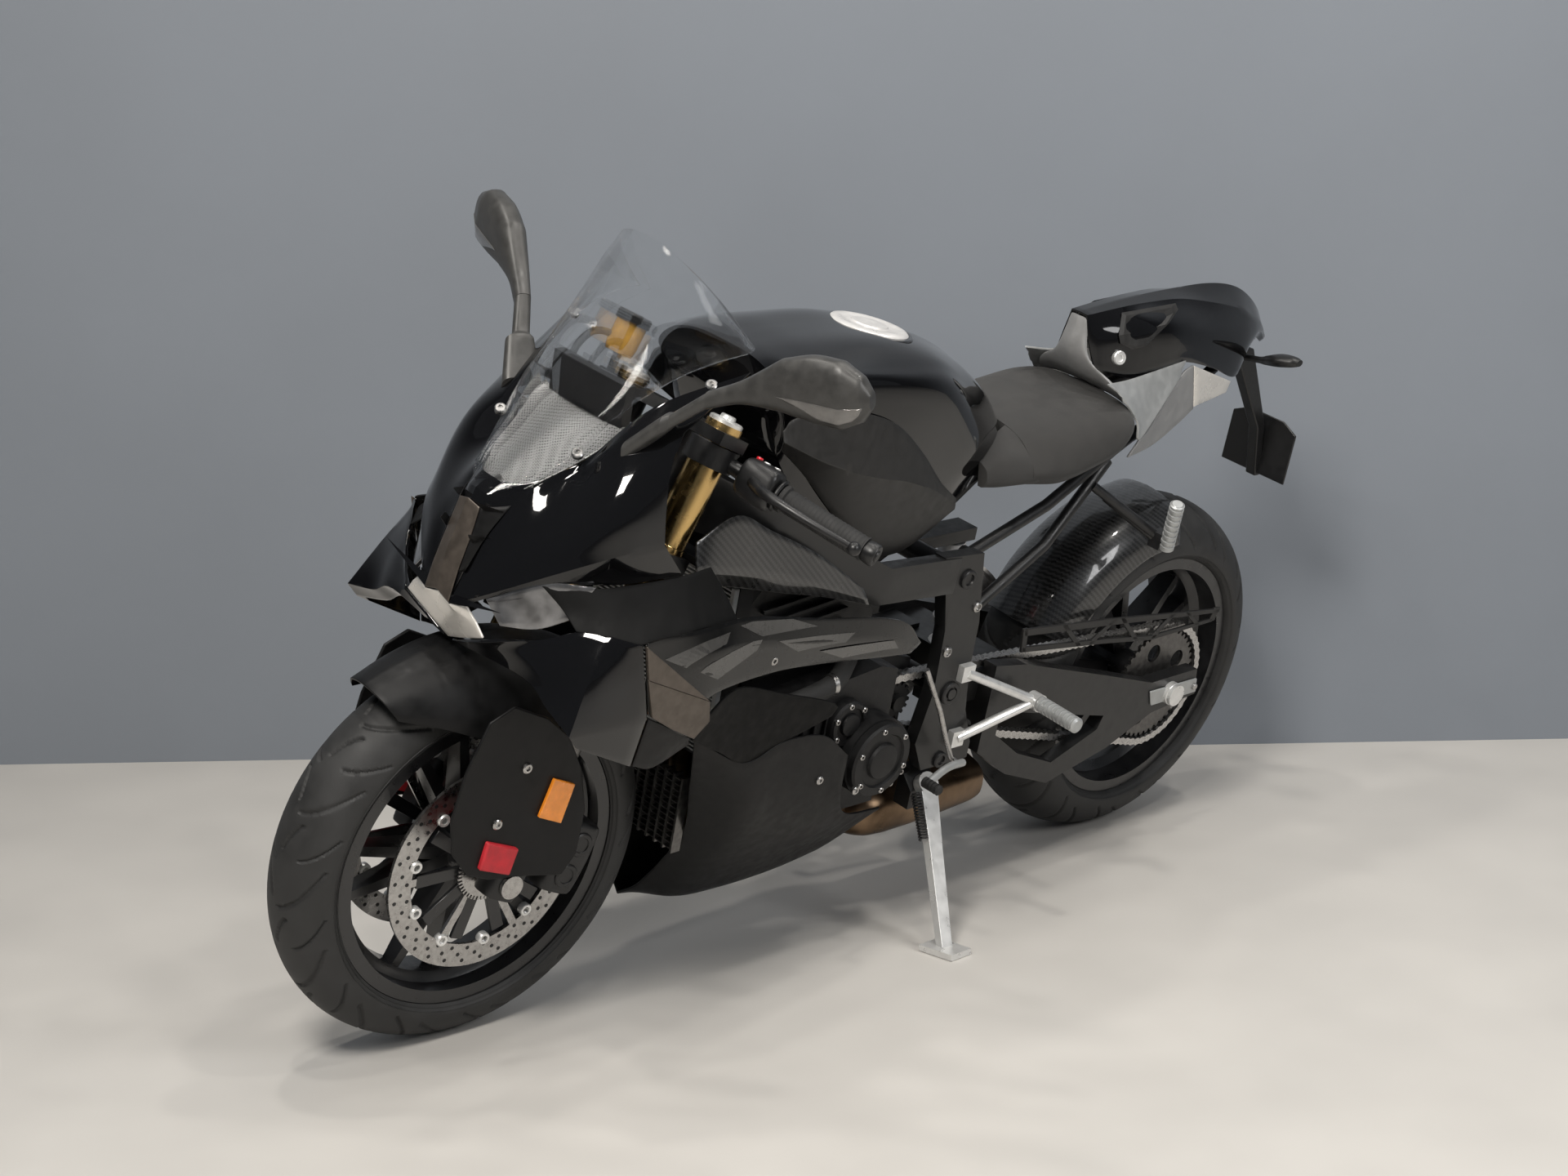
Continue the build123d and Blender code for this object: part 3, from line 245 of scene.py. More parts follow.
header = surface("header_pipe", (0.20, 0.135, 0.085), 0.34, metallic=1.0, vary=0.35, scale=14.0)
red = surface("caliper_red", (0.62, 0.012, 0.02), 0.2, coat=0.8, vary=0.1)
white_cap = surface("cap_white", (0.62, 0.61, 0.60), 0.35, metallic=0.3, vary=0.04)
stand_silver = surface("stand_silver", (0.70, 0.70, 0.69), 0.33, metallic=0.5, vary=0.05)
spring_white = surface("spring_white", (0.6, 0.6, 0.6), 0.4, vary=0.05)

SIDES = ((1, "left"), (-1, "right"))
STEERED_BODIES = ("steering", "front_wheel")

# Mesh helpers


def catmull(points, steps):
    """Points of an open curve through the given ones, steps per span."""
    p = np.asarray(points, float)
    if len(p) == 2:
        t = np.linspace(0, 1, steps + 1)[:, None]
        return p[0] + (p[1] - p[0]) * t.reshape((-1,) + (1,) * (p.ndim - 1))
    ends = np.concatenate([[2 * p[0] - p[1]], p, [2 * p[-1] - p[-2]]])
    out = []
    for k in range(1, len(ends) - 2):
        a, b, c, d = ends[k - 1], ends[k], ends[k + 1], ends[k + 2]
        for t in np.linspace(0, 1, steps, endpoint=False):
            out.append(0.5 * (2 * b + (c - a) * t + (2 * a - 5 * b + 4 * c - d) * t ** 2
                              + (3 * b - a - 3 * c + d) * t ** 3))
    out.append(p[-1])
    return np.array(out)


def spans(grid, steps, breaks=()):
    """Smooth curve down the first axis of a grid, broken at the given rows."""
    marks = [0] + sorted(breaks) + [len(grid) - 1]
    parts = []
    for a, b in zip(marks, marks[1:]):
        part = catmull(grid[a:b + 1], steps)
        parts.append(part if b == marks[-1] else part[:-1])
    return np.concatenate(parts)


def fine(rows, steps=6, row_breaks=(), column_breaks=()):
    """Finer grid through a table of rows, smooth except at the breaks."""
    grid = spans(np.asarray(rows, float), steps, row_breaks)
    return np.swapaxes(spans(np.swapaxes(grid, 0, 1), steps, column_breaks), 0, 1)


def mirrored(points):
    return np.asarray(points, float) * np.array([1.0, -1.0, 1.0])


def finish_object(name, vertices, faces, material, body="chassis", sharp=35, slot=None, node=None,
                  smooth=True):
    """Mesh piece on its body; node is the CAD node that it replaces; slot is not used."""
    mesh = bpy.data.meshes.new(name)
    mesh.from_pydata(place(vertices, body in STEERED_BODIES).tolist(), [], faces)
    mesh.validate()
    obj = bpy.data.objects.new(name, mesh)
    bpy.context.collection.objects.link(obj)
    mesh.materials.append(material)
    if smooth:
        mesh.shade_smooth()
        mesh.set_sharp_from_angle(angle=math.radians(sharp))
    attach(obj, body)
    if node:
        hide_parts(node)
    return obj


def soften(obj, width, segments=2, angle=35.0):
    """Rounds the edges of a piece."""
    bevel = obj.modifiers.new("rounding", "BEVEL")
    bevel.width = width * MM
    bevel.segments = segments
    bevel.limit_method = "ANGLE"
    bevel.angle_limit = math.radians(angle)
    bevel.harden_normals = False
    return obj


def grid_faces(height, width, start=0, flip=False):
    faces = []
    for i in range(height - 1):
        for j in range(width - 1):
            a = start + i * width + j
            quad = (a, a + 1, a + width + 1, a + width)
            faces.append(tuple(reversed(quad)) if flip else quad)
    return faces


def panel(name, rows, material, body="chassis", wall=4.0, both=True, whole=False, steps=6,
          row_breaks=(), column_breaks=(), inside=(1000, 0, 650), round_edge=1.2, sharp=28, **carried):
    """Thin panel behind a table of outer points.

    both adds the mirror image on the right; whole joins it along the centre line.
    """
    grid = fine(rows, steps, row_breaks, column_breaks)
    if whole:
        grid = np.concatenate([mirrored(grid[:, :0:-1]), grid], axis=1)
    sides = [grid] if (whole or not both) else [grid, mirrored(grid)]
    vertices, faces = [], []
    for number, side in enumerate(sides):
        height, width = side.shape[:2]
        i, j = height // 2, width // 2
        along = side[min(i + 1, height - 1), j] - side[i, j]
        across = side[i, min(j + 1, width - 1)] - side[i, j]
        target = np.array(inside, float) * (np.array([1, -1, 1]) if number else 1)
        flip = np.dot(np.cross(across, along), target - side[i, j]) > 0
        faces += grid_faces(height, width, len(vertices), flip)
        vertices += side.reshape(-1, 3).tolist()
    obj = finish_object(name, vertices, faces, material, body, sharp, **carried)
    thick = obj.modifiers.new("wall", "SOLIDIFY")
    thick.thickness = wall * MM
    thick.offset = -1.0
    thick.use_even_offset = True
    thick.thickness_clamp = 1.0
    if round_edge:
        soften(obj, round_edge, 2, 50)
    return obj


def ring_faces(rings, count, start=0):
    """Faces of a tube of rings, closed at both ends."""
    faces = []
    for k in range(rings - 1):
        for j in range(count):
            a = start + k * count + j
            b = start + k * count + (j + 1) % count
            faces.append((a, b, b + count, a + count))
    faces.append(tuple(start + j for j in reversed(range(count))))
    faces.append(tuple(start + (rings - 1) * count + j for j in range(count)))
    return faces


def sweep(path, radius, sides=16):
    """Rings of a round tube along a path, radius a number or one per point."""
    path = np.asarray(path, float)
    radii = np.broadcast_to(np.asarray(radius, float), (len(path),))
    tangents = np.gradient(path, axis=0)
    tangents /= np.linalg.norm(tangents, axis=1)[:, None]
    up = np.array([0.0, 0.0, 1.0]) if abs(tangents[0][2]) < 0.9 else np.array([1.0, 0.0, 0.0])
    side = np.cross(tangents[0], up)
    side /= np.linalg.norm(side)
    vertices = []
    for point, tangent, r in zip(path, tangents, radii):
        side = side - tangent * (side @ tangent)
        side /= np.linalg.norm(side)
        other = np.cross(tangent, side)
        for k in range(sides):
            turn = 2 * math.pi * k / sides
            vertices.append(point + r * (side * math.cos(turn) + other * math.sin(turn)))
    return vertices


def tube(name, paths, radius, material, body="chassis", sides=16, steps=6, **carried):
    """One or more round tubes along lists of points."""
    vertices, faces = [], []
    for path in paths:
        line = catmull(path, steps) if len(path) > 2 else np.asarray(path, float)
        faces += ring_faces(len(line), sides, len(vertices))
        vertices += sweep(line, radius, sides)
    return finish_object(name, vertices, faces, material, body, **carried)


def turned(name, profile, centres, axis, material, body="chassis", segments=64, **carried):
    """Solids of revolution about an axis through each centre: profile of (distance along it, radius)."""
    axis = np.asarray(axis, float)
    axis /= np.linalg.norm(axis)
    helper = np.array([0.0, 0.0, 1.0]) if abs(axis[2]) < 0.9 else np.array([1.0, 0.0, 0.0])
    u = np.cross(axis, helper)
    u /= np.linalg.norm(u)
    v = np.cross(axis, u)
    vertices, faces = [], []
    for middle in np.asarray(centres, float).reshape(-1, 3):
        start = len(vertices)
        for along, r in profile:
            for k in range(segments):
                turn = 2 * math.pi * k / segments
                vertices.append(middle + axis * along + r * (u * math.cos(turn) + v * math.sin(turn)))
        faces += ring_faces(len(profile), segments, start)
    return finish_object(name, vertices, faces, material, body, **carried)


def plates(name, outlines, material, body="chassis", round_edge=1.0, **carried):
    """Flat plates: each outline is (points, offset vector) swept by its offset."""
    vertices, faces = [], []
    for points, offset in outlines:
        low = np.asarray(points, float)
        faces += ring_faces(2, len(low), len(vertices))
        vertices += low.tolist() + (low + np.asarray(offset, float)).tolist()
    obj = finish_object(name, vertices, faces, material, body, **carried)
    if round_edge:
        soften(obj, round_edge)
    return obj


def on_both(points, offset):
    """A plate's outline and offset, and their mirror image."""
    return [(points, offset), (mirrored(points), mirrored(offset))]


def ring_of(centre, first, second, power=2.0, count=32):
    """Rounded ellipse from its centre and two half axes."""
    turns = 2 * math.pi * np.arange(count) / count
    c, s = np.cos(turns), np.sin(turns)
    return (np.asarray(centre, float) + np.outer(np.sign(c) * abs(c) ** (2 / power), first)
            + np.outer(np.sign(s) * abs(s) ** (2 / power), second))


def loft(name, sections, material, body="chassis", steps=6, breaks=(), both=False, power=2.0, count=32,
         **carried):
    """Closed body through sections of (centre, first half axis, second half axis) as rounded ellipses."""
    grid = spans(np.array([ring_of(*section, power, count) for section in sections]), steps, breaks)
    vertices, faces = [], []
    for side in ([grid, mirrored(grid)] if both else [grid]):
        faces += ring_faces(len(side), count, len(vertices))
        vertices += side.reshape(-1, 3).tolist()
    return finish_object(name, vertices, faces, material, body, **carried)


def fix_normals(obj):
    """Points every face outwards."""
    mesh = bmesh.new()
    mesh.from_mesh(obj.data)
    bmesh.ops.recalc_face_normals(mesh, faces=mesh.faces)
    mesh.to_mesh(obj.data)
    mesh.free()
    return obj


# CAD nodes that stay get their materials


def dress(material, *names, rounding=0.0):
    """Gives nodes that stay a material and, where asked, rounded edges."""
    for name in names:
        obj = frame["nodes"][name]
        obj.data.materials.clear()
        obj.data.materials.append(material)
        if rounding:
            weld = obj.modifiers.new("joined corners", "WELD")
            weld.merge_threshold = 0.02 * MM
            soften(obj, rounding, 3, 30.0)


dress(rim_black, "front_rim", "rear_rim", rounding=2.0)
dress(steel, "front_discs", "rear_disc", "front_axle")
dress(silver, "rear_axle", "rider_footrests")
dress(chain_steel, "chain")
dress(dark_steel, "rear_sprocket")
dress(engine_black, "engine_block", "radiator")
dress(frame_black, "main_frame", "swingarm", rounding=4.0)
dress(black_metal, "rear_subframe", "fork_yokes", "dash_display", "stand_bracket", "pillion_footrests",
      "rear_caliper")
dress(stand_silver, "side_stand_leg", rounding=2.0)

# Nose, tables as in the part's source

nose_rows = [
    [(1494, 0, 880), (1490, 22, 880), (1470, 46, 882), (1444, 60, 896), (1400, 80, 922), (1330, 120, 1004),
     (1215, 172, 1060)],
    [(1516, 0, 866), (1510, 22, 862), (1488, 46, 853), (1459, 60, 884), (1415, 80, 903), (1382, 118, 955),
     (1314, 168, 984)],
    [(1536, 0, 812), (1529, 25, 806), (1516, 39, 811), (1488, 72, 839), (1443, 108, 872), (1407, 158, 910),
     (1343, 185, 941)],
    [(1548, 0, 765), (1544, 26, 760), (1538, 30, 757), (1516, 80, 788), (1471, 131, 832), (1416, 178, 872),
     (1352, 198, 889)],
    [(1554, 0, 724), (1555, 26, 718), (1556, 30, 714), (1532, 78, 745), (1487, 140, 790), (1416, 188, 827),
     (1351, 205, 841)],
    [(1540, 0, 722), (1542, 22, 712), (1542, 40, 712), (1536, 66, 731), (1492, 133, 776), (1400, 180, 780),
     (1302, 198, 786)],
]
panel("nose_fairing", nose_rows, gloss_black, whole=True, row_breaks=(1, 4), sharp=24, node="nose_cowl")

wing_rows = [
    [(1543, 90, 680), (1498, 155, 706), (1469, 190, 727), (1440, 228, 732), (1413, 260, 728)],
    [(1537, 50, 662), (1512, 150, 680), (1494, 200, 678), (1478, 238, 680), (1404, 264, 680)],
    [(1529, 10, 645), (1516, 150, 650), (1511, 200, 626), (1515, 256, 612), (1386, 262, 616)],
    [(1502, 12, 640), (1488, 150, 632), (1484, 200, 604), (1497, 254, 590), (1386, 246, 534)],
]
lip_rows = [
    [(1382, 262, 614), (1340, 261, 591), (1296, 258, 563)],
    [(1382, 246, 533), (1341, 244, 521), (1274, 240, 541)],
]
panel("winglet_skin", wing_rows, gloss_black, row_breaks=(2,), column_breaks=(3,), node="winglets")
panel("winglet_lip", lip_rows, satin_black, slot="gloss_black", node="winglets")

side_rows = [
    [(1410, 262, 726), (1396, 262, 732), (1297, 250, 727), (1194, 236, 721), (1037, 220, 684),
     (840, 205, 638),
     (766, 193, 582)],
    [(1401, 264, 680), (1388, 264, 680), (1290, 264, 690), (1190, 248, 682), (1030, 228, 648),
     (850, 208, 610),
     (776, 194, 575)],
    [(1383, 262, 619), (1294, 259, 567), (1276, 260, 622), (1138, 236, 622), (1000, 212, 600),
     (870, 202, 580),
     (786, 193, 567)],
]
vane_rows = [
    [(1262, 252, 584), (1195, 240, 612), (1085, 226, 574), (974, 215, 534), (944, 210, 516)],
    [(1272, 242, 546), (1196, 226, 503), (1125, 212, 464), (1040, 210, 481), (952, 207, 500)],
]
panel("side_panels", side_rows, side_grey, row_breaks=(1,), node="side_fairings")
panel("side_vanes", vane_rows, matte_black, node="side_fairings")

belly_rows = [
    [(1225, 200, 519), (1128, 212, 464), (1048, 212, 482), (960, 208, 470), (893, 204, 420)],
    [(1172, 155, 410), (1100, 200, 385), (1035, 204, 380), (950, 204, 372), (886, 200, 340)],
    [(1130, 118, 300), (1080, 165, 305), (1010, 178, 300), (900, 178, 285), (820, 165, 280)],
    [(1118, 62, 205), (1070, 94, 190), (990, 114, 196), (870, 130, 215), (724, 148, 258)],
    [(1124, 32, 158), (1062, 58, 138), (980, 72, 140), (880, 76, 144), (800, 80, 156)],
    [(1128, 0, 128), (1060, 0, 118), (980, 0, 114), (880, 0, 116), (830, 0, 122)],
]
panel("belly_fairing", [list(column) for column in zip(*belly_rows)], satin_black, inside=(950, 0, 500),
      column_breaks=(3,), node="belly_pan")

# Mirrors

mirror_sections = [
    # x, y and z of the middle, depth along X and height of each section
    (1312, 200, 1042, 24, 24),
    (1292, 240, 1066, 30, 32),
    (1272, 290, 1092, 42, 70),
    (1258, 332, 1101, 46, 88),
    (1246, 374, 1106, 44, 90),
    (1236, 400, 1109, 34, 60),
    (1231, 411, 1111, 20, 22),
]
stalk_sections = [
    (1360, 120, 948, 58, 30),
    (1341, 160, 998, 42, 26),
    (1336, 165, 1003, 26, 20),
    (1312, 200, 1042, 24, 22),
]
MIRROR_POWER = 2.8
MIRROR_BREAKS = (2, 4, 5)
ACROSS = np.array([-0.35, 0.9, 0.2]) / np.linalg.norm([-0.35, 0.9, 0.2])


def across(sections):
    """Sections that face sideways: centre and two half axes."""
    forward = np.cross(ACROSS, (0, 0, 1))
    forward /= np.linalg.norm(forward)
    up = np.cross(forward, ACROSS)
    return [((x, y, z), forward * deep / 2, up * high / 2) for x, y, z, deep, high in sections]


loft("mirror_heads", across(mirror_sections), mirror_grey, both=True, power=MIRROR_POWER,
     breaks=MIRROR_BREAKS,
     node="mirrors")
loft("mirror_stalks", across(stalk_sections), mirror_grey, both=True, power=MIRROR_POWER, breaks=(1, 2),
     node="mirrors")

# Windshield
screen_rows = [
    # x and z on the centre line, x, y and z at the edge
    (1508, 868, 1478, 44, 888),
    (1466, 914, 1412, 78, 930),
    (1408, 980, 1376, 94, 982),
    (1354, 1056, 1300, 116, 1036),
    (1322, 1112, 1238, 132, 1062),
    (1304, 1164, 1180, 138, 1074),
    (1290, 1205, 1172, 116, 1084),
]


def bowed(rows, steps=6):
    """Rows that curve from the centre line to their edge as a quarter of an ellipse."""
    grid = []
    for centre_x, centre_z, edge_x, edge_y, edge_z in rows:
        row = []
        for k in range(steps + 1):
            turn = math.pi / 2 * k / steps
            row.append((edge_x + (centre_x - edge_x) * math.cos(turn), edge_y * math.sin(turn),
                        edge_z + (centre_z - edge_z) * math.cos(turn)))
        grid.append(row)
    return grid


panel("screen", bowed(screen_rows), clear_screen, whole=True, wall=3.0, steps=3, node="windshield")

# Tank, covers and cap

tank_stations = [
    # x, then y and z down the left half: crown, shoulder, edge, side, lower side, bottom
    (1104, [(0, 1036), (55, 1034), (100, 1022), (128, 1000), (130, 982), (100, 966), (0, 966)]),
    (1060, [(0, 1040), (60, 1038), (112, 1026), (140, 998), (136, 940), (112, 880), (0, 868)]),
    (985, [(0, 1043), (66, 1041), (120, 1024), (144, 998), (140, 920), (110, 800), (0, 792)]),
    (860, [(0, 1038), (72, 1036), (120, 1014), (144, 985), (138, 890), (108, 722), (0, 720)]),
    (745, [(0, 1020), (66, 1012), (106, 996), (134, 960), (126, 850), (104, 720), (0, 720)]),
    (640, [(0, 980), (52, 966), (86, 940), (110, 900), (114, 840), (98, 770), (0, 738)]),
    (560, [(0, 925), (42, 914), (64, 892), (84, 850), (88, 815), (78, 785), (0, 765)]),
    (512, [(0, 868), (36, 862), (54, 845), (66, 815), (66, 800), (56, 782), (0, 776)]),
]


def whole_body(name, stations, material, column_breaks=(), sharp=32, node=None):
    """Closed body through half outlines at X stations, mirrored about the centre plane."""
    half = fine([[(x, y, z) for y, z in outline] for x, outline in stations], 6, (), column_breaks)
    grid = np.concatenate([half, mirrored(half[:, -2:0:-1])], axis=1)
    faces = ring_faces(len(grid), grid.shape[1])
    return fix_normals(finish_object(name, grid.reshape(-1, 3), faces, material, sharp=sharp, node=node))


whole_body("tank_shell", tank_stations, gloss_black, column_breaks=(5,), node="fuel_tank")

cover_rows = [
    [(1104, 146, 952), (1086, 150, 970), (1010, 152, 972), (944, 152, 962), (866, 149, 933), (793, 144, 878),
     (733, 138, 822), (676, 128, 782)],
    [(1106, 154, 938), (1088, 160, 930), (1031, 168, 904), (960, 170, 878), (890, 166, 858), (838, 160, 845),
     (760, 147, 815), (672, 126, 770)],
    [(1094, 140, 918), (1062, 134, 895), (1025, 131, 865), (965, 128, 809), (900, 126, 752), (855, 125, 713),
     (770, 124, 708), (664, 120, 759)],
]
panel("tank_side_covers", cover_rows, satin_grey, row_breaks=(1,), sharp=26, node="tank_covers")

CAP = (808.0, 0.0, 1027.0)
CAP_AXIS = (-0.13, 0.0, 0.99)
turned("filler_cap", [(-14, 62), (3, 62), (6, 59), (7.5, 52), (7.5, 44), (6.5, 42), (6.5, 30), (8.5, 28),
                      (9, 1)],
       CAP, CAP_AXIS, white_cap, segments=96)
turned("filler_ring", [(-6, 70), (1, 70), (2.5, 68), (2.5, 62.5), (-6, 62.5)], CAP, CAP_AXIS, gloss_black,
       segments=96)

# Seat: a crowned foam pad

seat_stations = [
    # x, then y and z down the left half: crown, shoulder, edge, side, bottom
    (612, [(104, 826), (112, 824), (124, 816), (128, 800), (122, 789), (112, 788)]),
    (575, [(84, 846), (98, 843), (124, 832), (134, 802), (126, 786), (90, 786)]),
    (512, [(0, 864), (64, 858), (106, 842), (138, 806), (128, 783), (0, 783)]),
    (440, [(0, 868), (86, 862), (124, 844), (146, 802), (134, 778), (0, 778)]),
    (370, [(0, 874), (94, 868), (131, 850), (146, 812), (134, 790), (0, 790)]),
    (300, [(0, 880), (96, 874), (130, 858), (140, 826), (128, 806), (0, 806)]),
    (258, [(0, 884), (84, 877), (116, 862), (124, 840), (112, 822), (0, 822)]),
    (244, [(0, 878), (70, 871), (98, 857), (106, 842), (94, 828), (0, 828)]),
]


def seat_pad():
    """Foam pad: its centre starts behind the tank and its front corners reach round it."""
    pad = whole_body("seat_cushion", seat_stations[2:], seat_suede, (4,), 60, "rider_seat")
    horns = [[(x, y, z) for y, z in outline] for x, outline in seat_stations[:3]]
    horns[2] = [(512, 60, 858), (512, 90, 850), (512, 122, 828), (512, 137, 804), (512, 128, 784),
                (512, 66, 784)]
    grid = fine(horns + [[(490, y, z) for x, y, z in horns[2]]], 5)
    vertices, faces = [], []
    for side in (grid, mirrored(grid)):
        faces += ring_faces(len(side), side.shape[1], len(vertices))
        vertices += side.reshape(-1, 3).tolist()
    front = fix_normals(finish_object("seat_front_corners", vertices, faces, seat_suede, sharp=60))


seat_pad()

# Tail

tail_rows = [
    [(309, 0, 1010), (309, 17, 1009), (304, 29, 965), (293, 43, 926)],
    [(220, 0, 1021), (220, 21, 1018), (222, 58, 985), (224, 64, 908)],
    [(150, 0, 1027), (150, 24, 1022), (152, 62, 988), (154, 68, 916)],
    [(75, 0, 1031), (75, 28, 1022), (77, 60, 980), (79, 64, 922)],
    [(-20, 0, 1033), (-20, 32, 1008), (-20, 55, 955), (-20, 56, 898)],
    [(-95, 0, 1024), (-98, 30, 990), (-104, 48, 935), (-108, 46, 870)],
    [(-150, 0, 1003), (-146, 28, 968), (-146, 38, 935), (-145, 34, 910)],
    [(-198, 0, 968), (-190, 17, 952), (-186, 22, 938), (-182, 18, 924)],
    [(-228, 0, 924), (-226, 8, 922), (-222, 9, 916), (-218, 6, 910)],
]
stop_rows = [
    [(311, 0, 1004), (309, 14, 1003), (306, 20, 996)],
    [(316, 0, 950), (309, 26, 948), (301, 34, 940)],
    [(292, 0, 908), (284, 50, 906), (276, 84, 900)],
    [(256, 0, 884), (252, 60, 880), (246, 104, 868)],
]
fin_rows = [
    [(313, 92, 918), (240, 77, 912), (160, 72, 918), (79, 68, 926)],
    [(296, 99, 908), (244, 100, 885), (180, 92, 872), (88, 71, 912)],
    [(282, 104, 898), (238, 115, 850), (222, 117, 822), (92, 74, 902)],
]
under_rows = [
    [(222, 117, 820), (179, 101, 833), (92, 74, 900), (51, 66, 914)],
    [(248, 118, 790), (165, 102, 796), (84, 84, 816), (30, 72, 835)],
]
end_rows = [
    [(49, 66, 913), (-88, 54, 866)],
    [(30, 72, 838), (-81, 55, 846)],
]
TAIL_CORE = (50, 0, 930)
panel("tail_cowl_skin", tail_rows, gloss_black, whole=True, inside=TAIL_CORE, column_breaks=(1,), sharp=22,
      node="tail_cowl")
panel("seat_stop", stop_rows, grey_panel, whole=True, inside=(200, 0, 900), node="tail_panels")
panel("tail_fins", fin_rows, silver_panel, row_breaks=(1,), node="tail_panels")
panel("tail_under_panels", under_rows, grey_panel, node="tail_panels")
panel("tail_end_panels", end_rows, beak_silver, node="tail_panels")

# Tyres with cut grooves

GROOVES = (
    # both ends as (share from centre line to edge, share of a pitch), the bow, and the width in mm
    ((0.10, 0.02), (0.82, 0.52), -0.10, 4.6),
    ((0.36, 0.58), (0.90, 0.92), -0.06, 3.8),
    ((0.02, 0.62), (0.26, 0.92), 0.05, 3.8),
)
GROOVE_DEPTH = 3.2


def groove_depth(across_share, along_share, pitch, half_arc):
    """Depth of the tread's grooves at a point of one side of the tyre."""
    depth = np.zeros_like(along_share)
    for (a0, s0), (a1, s1), bow, width in GROOVES:
        for part in range(10):
            ends = []
            for t in (part / 10, (part + 1) / 10):
                ends.append(((a0 + (a1 - a0) * t) * half_arc,
                             (s0 + (s1 - s0) * t + bow * 4 * t * (1 - t)) * pitch))
            (u0, v0), (u1, v1) = ends
            du, dv = u1 - u0, v1 - v0
            for wrap in (-pitch, 0, pitch):
                x = across_share * half_arc - u0
                y = along_share * pitch + wrap - v0
                t = np.clip((x * du + y * dv) / (du * du + dv * dv), 0, 1)
                gap = np.hypot(x - t * du, y - t * dv)
                depth = np.maximum(depth, np.clip((width * 0.75 - gap) / (width * 0.35), 0, 1))
    return depth * GROOVE_DEPTH


def tyre(name, centre, radius, width, crown, rim_width, body, pitches, phase):
    """Crowned tyre with a grooved tread, smooth sidewalls and a raised bead line."""
    around, over = 900, 66
    half = width / 2
    shoulder = radius - crown
    half_arc = math.pi / 2 * (half + crown) / 2 * 0.96
    pitch = 2 * math.pi * radius / pitches
    turns = np.arange(around) * 2 * math.pi / around
    rings = []
    for k in range(over + 1):
        lift = math.pi * k / over
        share = abs(90 - math.degrees(lift)) / 90
        side = 1 if k * 2 > over else 0
        along_share = np.mod(turns / (2 * math.pi) * pitches + 0.5 * side + phase, 1.0)
        depth = groove_depth(np.full(around, share), along_share, pitch, half_arc)
        depth *= np.clip((0.96 - share) / 0.06, 0, 1)
        c, s = math.cos(lift), math.sin(lift)
        rings.append((half * c - depth * c * 0.9, shoulder + crown * s - depth * s))
    walls = []
    seat_low, rim_half = 230.0, rim_width / 2 + 2
    for t, bump in ((0.15, 0), (0.3, 0), (0.34, 0.9), (0.38, 0), (0.7, 0), (0.74, 1.2), (0.8, 1.2), (0.84, 0),
                    (1.0, 0)):
        walls.append((half + (rim_half - half) * t ** 1.6 + bump, shoulder + (seat_low - shoulder) * t))
    left = [(rim_half - 12.0, seat_low)] + walls[::-1]
    right = [(-y, r) for y, r in walls] + [(12.0 - rim_half, seat_low)]
    vertices = []
    for y, r in left + rings + right:
        y, r = np.broadcast_to(y, around), np.broadcast_to(r, around)
        vertices += np.stack([centre[0] + r * np.cos(turns), y, centre[2] + r * np.sin(turns)], 1).tolist()
    count = len(left) + len(rings) + len(right)
    faces = []
    for i in range(count):
        n = (i + 1) % count
        for k in range(around):
            m = (k + 1) % around
            faces.append((i * around + k, i * around + m, n * around + m, n * around + k))
    finish_object(name, vertices, faces, rubber, body, 40, node=name.replace("_tread", "_tyre"))


AXLE = np.array([WHEELBASE, 0.0, FRONT_RADIUS])
REAR_AXLE = np.array([0.0, 0.0, REAR_RADIUS])
tyre("front_tread", AXLE, FRONT_RADIUS, 120.0, 56.0, 104.0, "front_wheel", 13, 0.2)
tyre("rear_tread", REAR_AXLE, REAR_RADIUS, 192.0, 76.0, 164.0, "rear_wheel", 14, 0.0)

# Front details


def studs(name, places, axis, radius, height, body="chassis", both=False):
    """Round screw heads with a socket, on surfaces that face along the axis."""
    if both:
        places = list(places) + [tuple(mirrored(p)) for p in places]
    profile = [(-height, radius), (height * 0.6, radius), (height, radius * 0.8), (height, radius * 0.45),
               (height * 0.3, radius * 0.42), (height * 0.3, 0.1)]
    turned(name, profile, places, axis, steel, body, 20)


strip_rows = [
    [(1524, 0, 851), (1521, 22, 845)],
    [(1538, 0, 812), (1532, 25, 805)],
    [(1550, 0, 765), (1547, 26, 757)],
    [(1557, 0, 722), (1557, 27, 714)],
]
panel("nose_strip", [[(x + 2.5, y, z + 1) for x, y, z in row] for row in strip_rows], bronze, whole=True,
      wall=2.5)

beak_rows = [
    [(1556, 0, 720), (1558, 26, 712), (1549, 55, 718)],
    [(1550, 0, 697), (1551, 40, 702), (1545, 72, 702)],
    [(1529, 0, 646), (1535, 44, 664), (1541, 86, 684)],
]
panel("beak_skin", beak_rows, beak_silver, whole=True, row_breaks=(1,), column_breaks=(1,), sharp=14,
      node="beak")

headlight_rows = [
    [(1533, 71, 735), (1491, 132, 777), (1434, 175, 779)],
    [(1526, 100, 706), (1496, 138, 712), (1462, 168, 734)],
]
# The lens material carries a painted reflection in its grey colour
panel("headlight_glass", headlight_rows, headlight_lens_painted_reflection, wall=14.0, node="headlights")

inner_rows = [
    [(1492, 133, 774), (1434, 172, 777), (1382, 184, 779), (1302, 196, 784), (1250, 198, 790)],
    [(1474, 160, 748), (1420, 206, 750), (1360, 214, 752), (1290, 218, 752), (1228, 214, 752)],
    [(1469, 188, 727), (1413, 244, 724), (1380, 250, 724), (1297, 244, 724), (1215, 234, 718)],
]
panel("nose_inner_panels", inner_rows, matte_black, wall=2.5)

